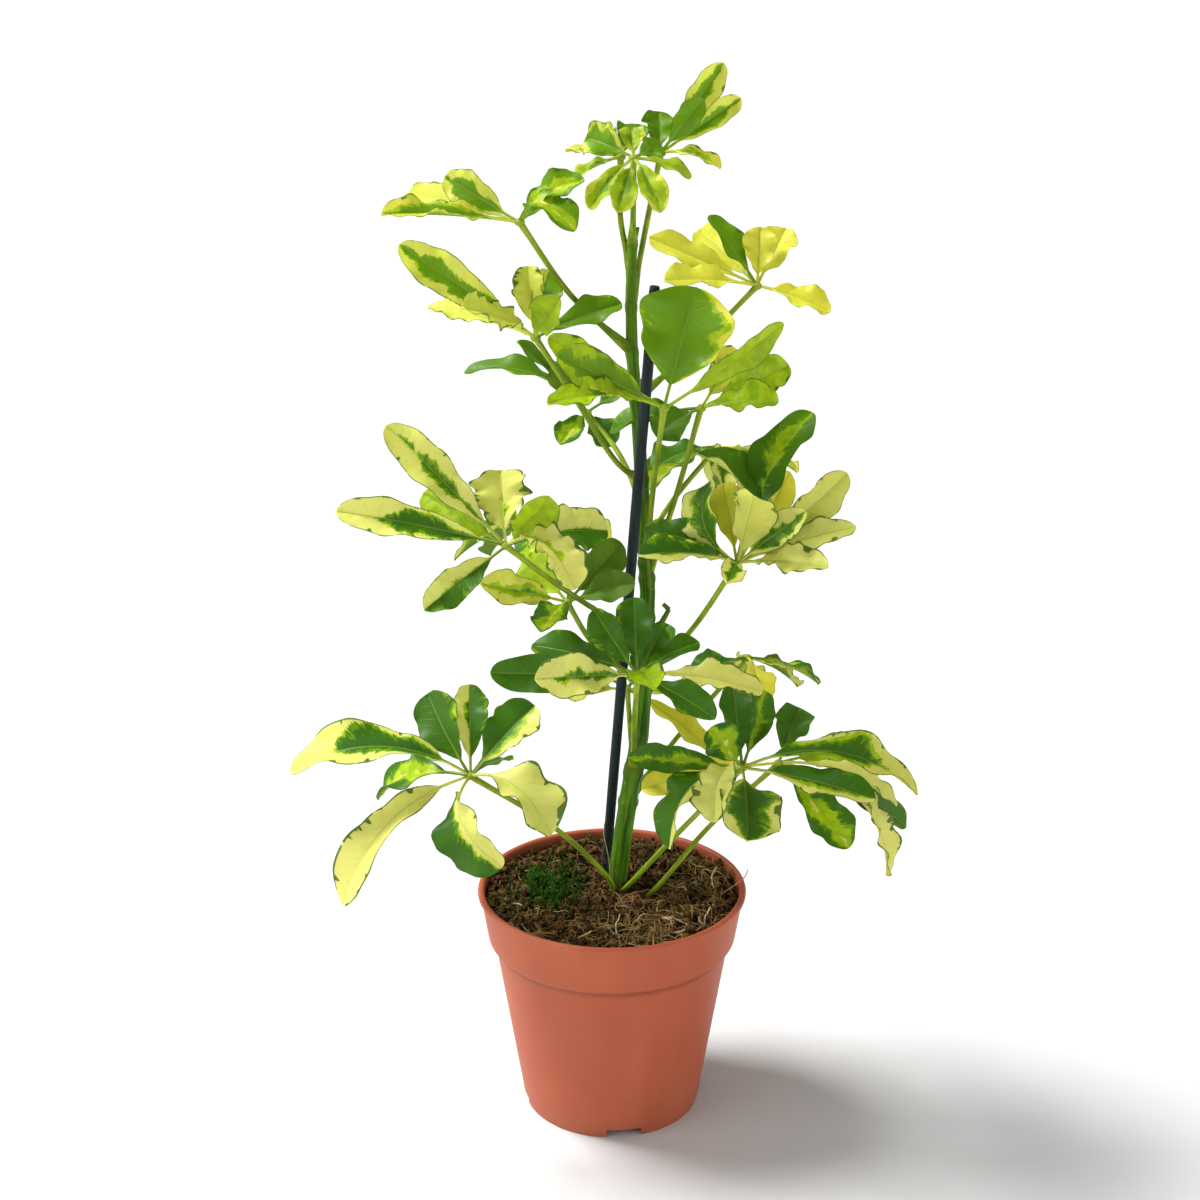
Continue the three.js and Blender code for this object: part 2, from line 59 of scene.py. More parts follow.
# ---- Pot, millimetres ----
POT_HEIGHT, RIM_RADIUS, FOOT_RADIUS, BODY_RADIUS = 105, 60, 39.9, 52.5
COLLAR_RADIUS, COLLAR_BOTTOM, COLLAR_STEP = 55.5, 82, 3
WALL, BEAD_HEIGHT, BEAD_DEPTH = 1.6, 2.6, 1.3
FLOOR_BOTTOM, FLOOR_TOP, FOOT_WIDTH = 4, 6, 2.6
NOTCH_WIDTH, NOTCH_HEIGHT, NOTCH_COUNT, FIRST_NOTCH_DEG = 16, 3.7, 4, -82
DRAIN_RADIUS, DRAIN_RING, DRAIN_COUNT = 4, 22, 4
# Heights at which the straight stretches of its wall get a ring.
BODY_RINGS, COLLAR_RINGS = (4.2, 6, 12, 24, 36, 48, 60, 70, 76, 78.4), (83.6, 86, 90, 94, 98, 101, 101.9)
INNER_COLLAR_RINGS, INNER_BODY_RINGS = (100, 94, 88, 84), (60, 40, 20, 8)

# ---- Stake and stem, millimetres ----
STAKE_RADIUS = 2.25
STAKE_FOOT, STAKE_TOP = (-9, 26.5, 15), (16.3, -20.5, 377)
# The middle of the stem, from the root ball to the growing tip, and its radius there.
STEM_PATH = [
    (1.5, 2, 64, 3.4), (1.9, 2, 100, 4.2), (5.2, 1, 132, 4.1), (8, 0.5, 152, 4.0),
    (12, 0, 177, 3.9), (13.4, 0, 200, 3.7), (15, 0, 243, 3.3), (13, 0, 279, 3.0),
    (10.6, 0, 315, 2.7), (7.8, 0, 347, 2.5), (7.2, -0.5, 372, 2.2), (8, -2, 400, 1.6),
]
# Dried stipules, as short straight pieces: where each starts and ends, and its radius.
STIPULES = [
    ((9.2, -0.9, 394), (9.9, -2.2, 397.5), 0.8), ((16.6, -2.4, 226), (21.2, -3.4, 231), 1.35),
    ((21.2, -3.4, 231), (24.0, -3.2, 236.4), 1.25), ((24.0, -3.2, 236.4), (21.6, -3.0, 238.8), 1.15),
]

# ---- Soil, millimetres ----
SOIL_LEVEL, SOIL_LUMP, SOIL_MOUND, SOIL_MOUND_RADIUS, SOIL_EDGE = 100.5, 1.7, 2.2, 22, 56.0
# Heaps, and hollows at the stem: the middle's x and y, the radius, and the height.
HEAPS = [(5, -19, 8, 2.6), (20, -22, 7, 1.4), (24, 13, 8, -2.6), (-12, -3, 6, -2.2), (-2, 12, 6, -1.5)]
# The soil's side under its top, as radius and height, down the pot's wall and in along its floor.
SOIL_SIDE = [(55.6, 97), (54.6, 90), (53.4, 83), (49.9, 78), (43.9, 40), (38.4, 6.6), (1.0, 6.5)]
CRUMB_COUNT, FIBRE_COUNT, TUFT_FIBRE_COUNT, MOSS_COUNT = 2300, 1150, 420, 2600
# Where fibres stand in tufts, and how far they scatter there.
TUFTS = [(12, -38), (-6, -39), (44, -20), (34, -30), (46, 4), (43, 22), (4, -20), (22, -46), (-34, -36),
         (20, -25), (30, -4), (8, -46)]
TUFT_SPREAD = 4.5
# Long pale roots: x and y of the start, direction in radians, length, bend, and how high it arches.
ROOTS = [
    (-49.2, -11.9, -0.27, 33, -2.5, 1.0), (-15, -44, 0.35, 24, 2, 1.4), (44.7, -14, -1.77, 22, -0.6, 2.2),
    (32, -15, -0.25, 14, 0.6, 2.4), (46, 3, 1.45, 22, 0.8, 3.0), (-40, 20, 0.4, 26, 2, 1.0),
    (8, -34, 0.75, 20, 1.5, 1.9), (2, -40, 1.4, 13, 1, 2.0), (28, 2, -1.1, 16, 2, 2.0),
    (24, -42, 0.5, 18, -1.5, 1.6), (30, -30, 2.6, 17, 1.6, 1.8),
]
ROOT_RADIUS = 0.36
# Single fibres as (knots, radius, paleness): one hangs over the rim, and one climbs beside the stake.
SINGLE_FIBRES = [
    ([(49, -6, 103.5), (54.5, -3, 106), (58.4, 1, 107), (60.5, 5, 107.4), (61.2, 6.5, 109.4)], 0.26, 0.7),
    ([(-0.9, 11.2, 102), (-1.2, 11.3, 111), (-2.5, 10.2, 119), (-3.6, 9.6, 125), (-3.4, 8.8, 131)], 0.2, 1.0),
]
MOSS_MIDDLE, MOSS_SPREAD, MOSS_STRAY_SHARE, MOSS_STRAY_RADIUS = (-28.0, 2.5), (6.72, 10.5), 0.05, 50

# ---- Leaves, millimetres and degrees ----
STALK_RADIUS, STALK_FOOT_RADIUS, HUB_RADIUS = 1.35, 2.3, 2.3
LEAFLET_STALK, LEAFLET_STALK_SHARE, LEAST_HALF_WIDTH = 12, 0.2, 0.7
BLADE_THICKNESS, LEAFLET_STALK_THICKNESS = 0.44, 1.25
RIB_WIDTH, GROOVE_DEPTH, RIB_DEPTH = 0.65, 0.28, 0.5
WAVE_HEIGHT, WAVE_WIDTH, WAVES, MORE_WAVES = 0.11, 0.06, 1.4, 0.8
RUFFLE_HEIGHT, RUFFLE_DEPTH, FULL_RUFFLE_WIDTH = 1.2, 0.14, 17
MOST_TWIST_DEG, FOLD_DEG, MORE_FOLD_DEG = 18, 16, 10
WIDEST_POWER, BLUNT_POWER = 1.5, 0.5
# The axis of a hub leans out with its distance from the stem, and towards the viewer.
HUB_SPLAY, STEM_X, VIEWER_LEAN = 0.012, 10, 0.25
WHORL_FALL_DEG, WHORL_MORE_FALL_DEG, WHORL_DROOP_DEG, WHORL_SHORTER, WHORL_LEAN = 18, 8, 36, 6, 0.35

# ---- Numbers of points ----
BLADE_ROWS, STALK_SIDES, HUB_ROWS, HUB_COLUMNS = 42, 12, 9, 14
STEM_ROWS, STEM_SIDES, STAKE_ROWS, STAKE_SIDES = 520, 28, 160, 30
SOIL_ROWS, SOIL_COLUMNS, POT_COLUMNS = 120, 330, 192
# Places across a blade in half widths, closer at the midrib and at the edges.
HALF_BLADE = np.append(np.linspace(0, 0.85, 8) ** 1.25 / 0.85**0.25, [0.955, 1])
ACROSS = np.concatenate([-HALF_BLADE[:0:-1], HALF_BLADE])

# ---------------------------------------------------------------- surfaces


def unit(vectors):
    """Each vector divided by its length."""
    return vectors / np.maximum(np.linalg.norm(vectors, axis=-1, keepdims=True), 1e-9)


def ramp(x, start, end):
    """0 before start and 1 after end, with a smooth step between: 3x squared less 2x cubed."""
    s = np.clip((x - start) / (end - start), 0, 1)
    return s * s * (3 - 2 * s)


def arch(q):
    """The square root of half a sine wave, 0 at both ends of q and 1 in the middle."""
    return np.sqrt(np.maximum(0, np.sin(np.pi * q)))


def turned(a, b, angle):
    """Two coordinates turned by an angle."""
    return a * np.cos(angle) - b * np.sin(angle), a * np.sin(angle) + b * np.cos(angle)


def around(count):
    """Angles of evenly spaced points on a circle."""
    return np.linspace(0, 2 * np.pi, count, endpoint=False)


def close_skins(rings, marks=None):
    """Closes shells of the shape (shell, ring, place on it, xyz): quads between rings, fans at the ends.

    A shell whose signed volume is below zero has its faces turned, so that all of them point outwards. Marks
    hold values of the same points, under their names.
    """
    count, rows, columns = rings.shape[:3]
    size = rows * columns + 2
    ends = np.stack([rings[:, 0].mean(1), rings[:, -1].mean(1)], 1)
    points = np.concatenate([rings.reshape(count, -1, 3), ends], 1)
    row, here = np.arange(rows - 1)[:, None] * columns, np.arange(columns)
    after = (here + 1) % columns
    quads = np.stack([row + here, row + after, row + columns + after, row + columns + here], -1)
    quads = quads.reshape(-1, 4)
    last = (rows - 1) * columns
    fans = np.concatenate([
        np.stack([np.full(columns, size - 2), after, here], -1),
        np.stack([np.full(columns, size - 1), last + here, last + after], -1),
    ])
    halves = np.concatenate([quads[:, :3], quads[:, [0, 2, 3]], fans])
    a, b, c = (points[:, halves[:, i]] for i in range(3))
    inside_out = (np.einsum("nij,nij->n", a, np.cross(b, c)) < 0)[:, None, None]
    shift = (np.arange(count) * size)[:, None, None]
    quads = np.where(inside_out, quads[None, :, ::-1], quads[None]) + shift
    fans = np.where(inside_out, fans[None, :, ::-1], fans[None]) + shift
    carried = {}
    for name, values in (marks or {}).items():
        flat = values.reshape(count, rows * columns, -1)
        caps = np.stack([flat[:, :columns].mean(1), flat[:, -columns:].mean(1)], 1)
        carried[name] = np.concatenate([flat, caps], 1).reshape(count * size, -1)
    return points.reshape(-1, 3), quads.reshape(-1, 4), fans.reshape(-1, 3), carried


def tubes(paths, radii, sides):
    """Rings round paths of the shape (path, point, xyz): a circle of the radius there, square to the path.

    The circle is turned from a direction square to the path's chord, so it doesn't wind along the path.
    """
    along = unit(np.gradient(paths, axis=1))
    chord = unit(paths[:, -1] - paths[:, 0])
    steep = np.abs(chord[:, 2:]) > 0.9
    square = unit(np.cross(chord, np.where(steep, [[1.0, 0, 0]], [[0, 0, 1.0]])))[:, None]
    first = unit(square - np.sum(square * along, -1, keepdims=True) * along)
    second = np.cross(along, first)
    turn = around(sides)[None, None, :, None]
    circle = np.cos(turn) * first[:, :, None] + np.sin(turn) * second[:, :, None]
    return paths[:, :, None] + radii[:, :, None, None] * circle


def tube_marks(rings, first, second, third=0.0):
    """The mark stalk_place of every point of the rings: three numbers, each spread over the rings."""
    spread = [np.broadcast_to(value, rings.shape[:3]) for value in (first, second, third)]
    return {"stalk_place": np.stack(spread, -1)}


def smooth_path(knots, steps):
    """A smooth curve through the knots, with that many points to a stretch, and its end.

    Each stretch is a cubic. Its slopes at both ends come from the knots beside them, weighed by the square
    roots of the distances between knots.
    """
    knots = np.array(knots, float)
    knots = np.vstack([2 * knots[0] - knots[1], knots, 2 * knots[-1] - knots[-2]])
    t = np.linspace(0, 1, steps, endpoint=False)[:, None]
    curve = []
    for a, b, c, d in zip(knots, knots[1:], knots[2:], knots[3:]):
        before, between, after = (np.linalg.norm(q - p) ** 0.5 for p, q in ((a, b), (b, c), (c, d)))
        leave = ((b - a) / before - (c - a) / (before + between) + (c - b) / between) * between
        arrive = ((c - b) / between - (d - b) / (between + after) + (d - c) / after) * between
        squared, cubed = 3 * (c - b) - 2 * leave - arrive, 2 * (b - c) + leave + arrive
        curve.append(b + leave * t + squared * t**2 + cubed * t**3)
    return np.vstack([*curve, knots[-2:-1]])


def make_piece(name, skins, finishes, replaced=()):
    """One object from skins (points, quads, fans, marks, finish's number), with its place in its mesh."""
    points = np.concatenate([s[0] for s in skins])
    starts = np.cumsum([0] + [len(s[0]) for s in skins])
    quads = np.concatenate([s[1] + k for s, k in zip(skins, starts)])
    fans = np.concatenate([s[2] + k for s, k in zip(skins, starts)])
    mesh = bpy.data.meshes.new(name)
    mesh.vertices.add(len(points))
    mesh.vertices.foreach_set("co", (np.clip(points, LOW, HIGH) * MM).ravel())
    mesh.loops.add(quads.size + fans.size)
    mesh.loops.foreach_set("vertex_index", np.concatenate([quads.ravel(), fans.ravel()]).astype(np.int32))
    mesh.polygons.add(len(quads) + len(fans))
    begin = np.concatenate([np.arange(len(quads)) * 4, quads.size + np.arange(len(fans)) * 3])
    mesh.polygons.foreach_set("loop_start", begin.astype(np.int32))
    for finish in finishes:
        mesh.materials.append(finish)
    kinds = np.concatenate([np.full(len(s[faces]), s[4]) for faces in (1, 2) for s in skins])
    mesh.polygons.foreach_set("material_index", kinds.astype(np.int32))
    for mark in sorted({m for s in skins for m in s[3]}):
        layer = mesh.attributes.new(mark, "FLOAT_VECTOR", "POINT")
        values = [s[3].get(mark, np.zeros((len(s[0]), 3))) for s in skins]
        layer.data.foreach_set("vector", np.concatenate(values).astype(np.float32).ravel())
    mesh.update(calc_edges=True)
    mesh.validate()
    mesh.shade_smooth()
    piece = bpy.data.objects.new(name, mesh)
    bpy.context.scene.collection.objects.link(piece)
    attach(piece, "root")
    if replaced:
        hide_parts(*replaced)
    return piece


# ---------------------------------------------------------------- leaves


def chances(leaf, leaflet):
    """Five seeded numbers from 0 to 1 for a leaflet: the ends of multiples of a large sine."""
    x = np.sin((leaf + 1) * 12.9898 + (leaflet + 1) * 78.233) * 43758.5453
    return [(x * m) % 1 for m in (1, 1.7, 2.3, 3.1, 4.7)]


def both_faces(values):
    """Values across the upper face, followed by the same ones back across the lower face."""
    return np.concatenate([values, values[:, ::-1]], 1)


def blade(hub, row, chance, seed):
    """A leaflet's rings and marks: a midrib that arches, folded halves on each side, and waved edges.

    The half width is a power of half a sine wave along the blade, with notches and lobes at the edge. A point
    of the blade lies v half widths across. It rises with v for the fold, with v to the power 1.6 for the
    waves and with its cube for the ruffle. The upper face has a groove over the midrib, the lower face has a
    ridge, and the foot is a round stalk.
    """
    bearing, toward, length, width, roll, droop, look = row
    bearing, toward, roll, droop = np.radians([bearing, toward, roll, droop])
    axis = unit(np.array([(hub[0] - STEM_X) * HUB_SPLAY, hub[1] * HUB_SPLAY - VIEWER_LEAN, 1]))
    along = np.array([np.cos(bearing) * np.cos(toward), -np.sin(toward), np.sin(bearing) * np.cos(toward)])
    flat_up = unit(axis - axis.dot(along) * along)
    flat_side = np.cross(flat_up, along)
    side = np.cos(roll) * flat_side + np.sin(roll) * flat_up
    up = np.cos(roll) * flat_up - np.sin(roll) * flat_side
    rise = length * droop / 8
    stalk = min(LEAFLET_STALK, LEAFLET_STALK_SHARE * length) / length
    start = 0.4 * HUB_RADIUS / length
    run = np.linspace(0, 1, BLADE_ROWS)[:, None]
    t = start + (1 - start) * (1 - (1 - run) ** 1.3)
    q = np.clip((t - stalk) / (1 - stalk), 0, 1)
    slope = 4 * rise * (1 - 2 * t) / length
    middle = hub + length * t * along + 4 * rise * t * (1 - t) * up
    normal = unit(up - slope * along)
    twist = np.radians(MOST_TWIST_DEG) * (chance[0] - 0.5) * q
    across = np.cos(twist) * side + np.sin(twist) * normal
    above = np.cos(twist) * normal - np.sin(twist) * side
    half = width / 2 * np.maximum(0, np.sin(np.pi * q**WIDEST_POWER)) ** BLUNT_POWER
    half = np.maximum(half, LEAST_HALF_WIDTH)
    fold = np.radians(FOLD_DEG + MORE_FOLD_DEG * chance[1])
    v = ACROSS[None]
    s = np.abs(v)
    phase = np.where(v < 0, chance[3], chance[2])

    wave = np.sin(2 * np.pi * ((WAVES + MORE_WAVES * chance[4]) * q + phase))
    height = WAVE_HEIGHT * width * arch(q) * wave * s**1.6
    notch = np.sin(2 * np.pi * (1.5 * (WAVES + MORE_WAVES * chance[1]) * q + 2 * phase))
    ruffle = look["ruffle"] * arch(q) * min(1, (width / FULL_RUFFLE_WIDTH) ** 2)
    short_wave = np.sin(2 * np.pi * ((3.6 + 2 * chance[2]) * q + 3 * phase))
    height = height + ruffle * RUFFLE_HEIGHT * s**3 * short_wave
    lobes = np.abs(np.sin(np.pi * ((3.6 + 2.6 * chance[0]) * q**1.1 + 5 * phase))) ** 0.6
    reach = 1 + WAVE_WIDTH * notch + RUFFLE_DEPTH * ruffle * (lobes - 0.8) * ramp(s, 0.5, 1)
    base = middle[:, None] + (v * half * np.cos(fold) * reach)[..., None] * across[:, None]
    base = base + (s * half * np.sin(fold) + height)[..., None] * above[:, None]

    round_foot = 1 - ramp(half, LEAST_HALF_WIDTH, 4)
    thick = BLADE_THICKNESS + (LEAFLET_STALK_THICKNESS - BLADE_THICKNESS) * round_foot
    shape = round_foot * np.sqrt(np.maximum(1 - v * v, 0.02)) + (1 - round_foot) * (1 - 0.62 * v**2)
    at_rib = np.exp(-((s * half / RIB_WIDTH) ** 2)) * (1 - round_foot)
    upper = 0.5 * thick * shape - GROOVE_DEPTH * at_rib
    lower = -0.5 * thick * shape - RIB_DEPTH * at_rib * (1.1 - q)
    faces = [base + upper[..., None] * above[:, None], (base + lower[..., None] * above[:, None])[:, ::-1]]
    rings = np.concatenate(faces, 1)

    zone, band = pattern(q, v, chance, look)
    far, share = q + 0 * v, s + 0 * q
    below = np.concatenate([np.full_like(far, look["dull"]), np.ones_like(far)], 1)
    same = np.ones_like(below)
    marks = {
        "blade_place": np.stack([both_faces(v * half), both_faces(far * length), seed * same], -1),
        "blade_zone": np.stack([both_faces(zone), band * same, both_faces(share)], -1),
        "blade_tone": np.stack([look["gold"] * same, below, both_faces(far)], -1),
        "blade_rim": np.stack([look["rim"] * same, chance[2] * same, chance[3] * same], -1),
    }
    return rings, marks


def pattern(q, v, chance, look):
    """How far each point lies outside the green middle of its blade, and the width of the lime band round it.

    It is the distance from the midrib, plus a lean and a jump to one side, three slow waves along the blade,
    and a rise towards the tip and the foot, less the reach of the green. A turned one is green at its edge.
    """
    s, side = np.abs(v), np.where(v < 0, 0.0, 0.37)
    waves = ((0.5, 0.9), (0.35, 2.1), (0.25, 4.3))
    turns = [beats * q + chance[i] + (i + 1) * side for i, (_, beats) in enumerate(waves)]
    slow = sum(size * np.sin(2 * np.pi * turn) for (size, _), turn in zip(waves, turns))
    if look["turned"]:
        return look["green"] - 0.25 - s - 0.35 * slow, look["band"]
    own_jump = 0.3 * (chance[4] - 0.5) * min(1, 2 * abs(look["green"]))
    zone = s + look["lean"] * v + (look["jump"] + own_jump) * np.sign(v) + 0.3 * slow
    zone = zone + look["tip"] * ramp(q, 0.5, 0.95) + look["foot"] * ramp(0.2 - q, 0, 0.2) - look["green"]
    return zone, look["band"]


def blade_look(green, band, gold=0.1, lean=0.0, jump=0.0, tip=0.3, foot=0.1, ruffle=0.4, rim=1.0, dull=0.0,
               turned=False):
    """The painting of a blade: how far the green reaches, the lime band, and how golden its margin is.

    A lean or a jump puts more of the green on one half; rim is the width of the painted edge shadow, a thin
    green line along the edge; dull makes its upper face like its lower one; ruffle waves its edge.
    """
    return dict(green=green, band=band, gold=gold, lean=lean, jump=jump, tip=tip, foot=foot, ruffle=ruffle,
                rim=rim, dull=dull, turned=turned)


LOOKS = {
    # Green in the middle and cream at the edge, with more or less green, a stripe of it, or a cream end.
    "c": blade_look(0.50, 0.05, ruffle=0.6),
    "C": blade_look(0.67, 0.06, tip=0.15, ruffle=0.5),
    "s": blade_look(0.26, 0.05, tip=0.5, foot=0.0, ruffle=0.5),
    "e": blade_look(0.66, 0.04, tip=1.3),
    "E": blade_look(0.76, 0.22, gold=0.3, tip=1.4, ruffle=0.6),
    "k": blade_look(0.48, 0.20, gold=0.5, ruffle=0.9),
    # One half green and one half pale.
    "h": blade_look(0.50, 0.10, lean=0.2, jump=0.5, tip=0.1, ruffle=0.6),
    "H": blade_look(0.50, 0.10, lean=-0.2, jump=-0.5, tip=0.1, ruffle=0.6),
    "K": blade_look(0.72, 0.30, lean=-0.3, jump=-0.3, tip=0.1, ruffle=0.5),
    "j": blade_look(-0.50, 0.08, lean=3.0, tip=0.0, foot=0.0, ruffle=0.5),
    # Green all over, dull green like a lower face, and green with a pale edge on one side.
    "d": blade_look(1.22, 0.50, tip=0.1, foot=0.0, ruffle=0.25),
    "g": blade_look(1.70, 0.50, tip=0.0, foot=0.0, ruffle=0.2),
    "q": blade_look(1.70, 0.50, tip=0.0, foot=0.0, dull=0.9),
    "u": blade_look(0.54, 0.80, gold=0.6, lean=0.35, tip=0.1, dull=0.6, ruffle=0.7),
    "G": blade_look(0.88, 0.22, gold=0.75, lean=-0.34, tip=0.0, foot=0.0, ruffle=0.15, rim=0.0),
    # Green at the edge and lime inside, or only a lime streak.
    "l": blade_look(0.75, 0.55, gold=0.35, turned=True),
    "L": blade_look(0.46, 0.60, turned=True),
    # Lime, olive, young yellow with a green streak, cream, smooth cream, dull cream and crumpled cream.
    "m": blade_look(-0.05, 1.10, gold=0.5, ruffle=0.8),
    "r": blade_look(-0.70, 2.60, gold=0.4, ruffle=0.9),
    "o": blade_look(-0.90, 2.60, dull=1.0),
    "b": blade_look(0.24, 0.70, gold=0.4, dull=0.55, rim=0.0),
    "w": blade_look(-0.80, 0.02, gold=0.1, ruffle=1.3, rim=1.8),
    "W": blade_look(-0.80, 0.02, gold=0.1, ruffle=0.3, rim=1.8),
    "O": blade_look(-0.80, 0.02, gold=0.3, dull=0.75, ruffle=0.6),
    "v": blade_look(-0.20, 0.22, gold=0.15, ruffle=2.0, rim=1.8),
    # Mostly pale with some green, pale yellow, and golden.
    "y": blade_look(0.12, 0.35, gold=0.45),
    "p": blade_look(-0.60, 0.10, gold=0.55, rim=0.15),
    "Y": blade_look(-0.60, 0.10, gold=0.8, rim=0.25),
}


def whorl(count, first, length, width, looks):
    """Leaflets evenly turned round an axis that leans to the far side, every other one fallen lower."""
    axis = unit(np.array([0, WHORL_LEAN, 1]))
    right = np.array([1.0, 0, 0])
    back = np.cross(axis, right)
    rows = []
    for i in range(count):
        turn, fall = np.radians([first + 360 * i / count, WHORL_FALL_DEG + WHORL_MORE_FALL_DEG * (i % 2)])
        d = np.cos(fall) * (np.cos(turn) * right + np.sin(turn) * back) - np.sin(fall) * axis
        bearing, toward = np.degrees([np.arctan2(d[2], d[0]), np.arcsin(-d[1])])
        rows.append((bearing, toward, length - WHORL_SHORTER * (i % 3), width, 0, WHORL_DROOP_DEG, looks[i]))
    return rows


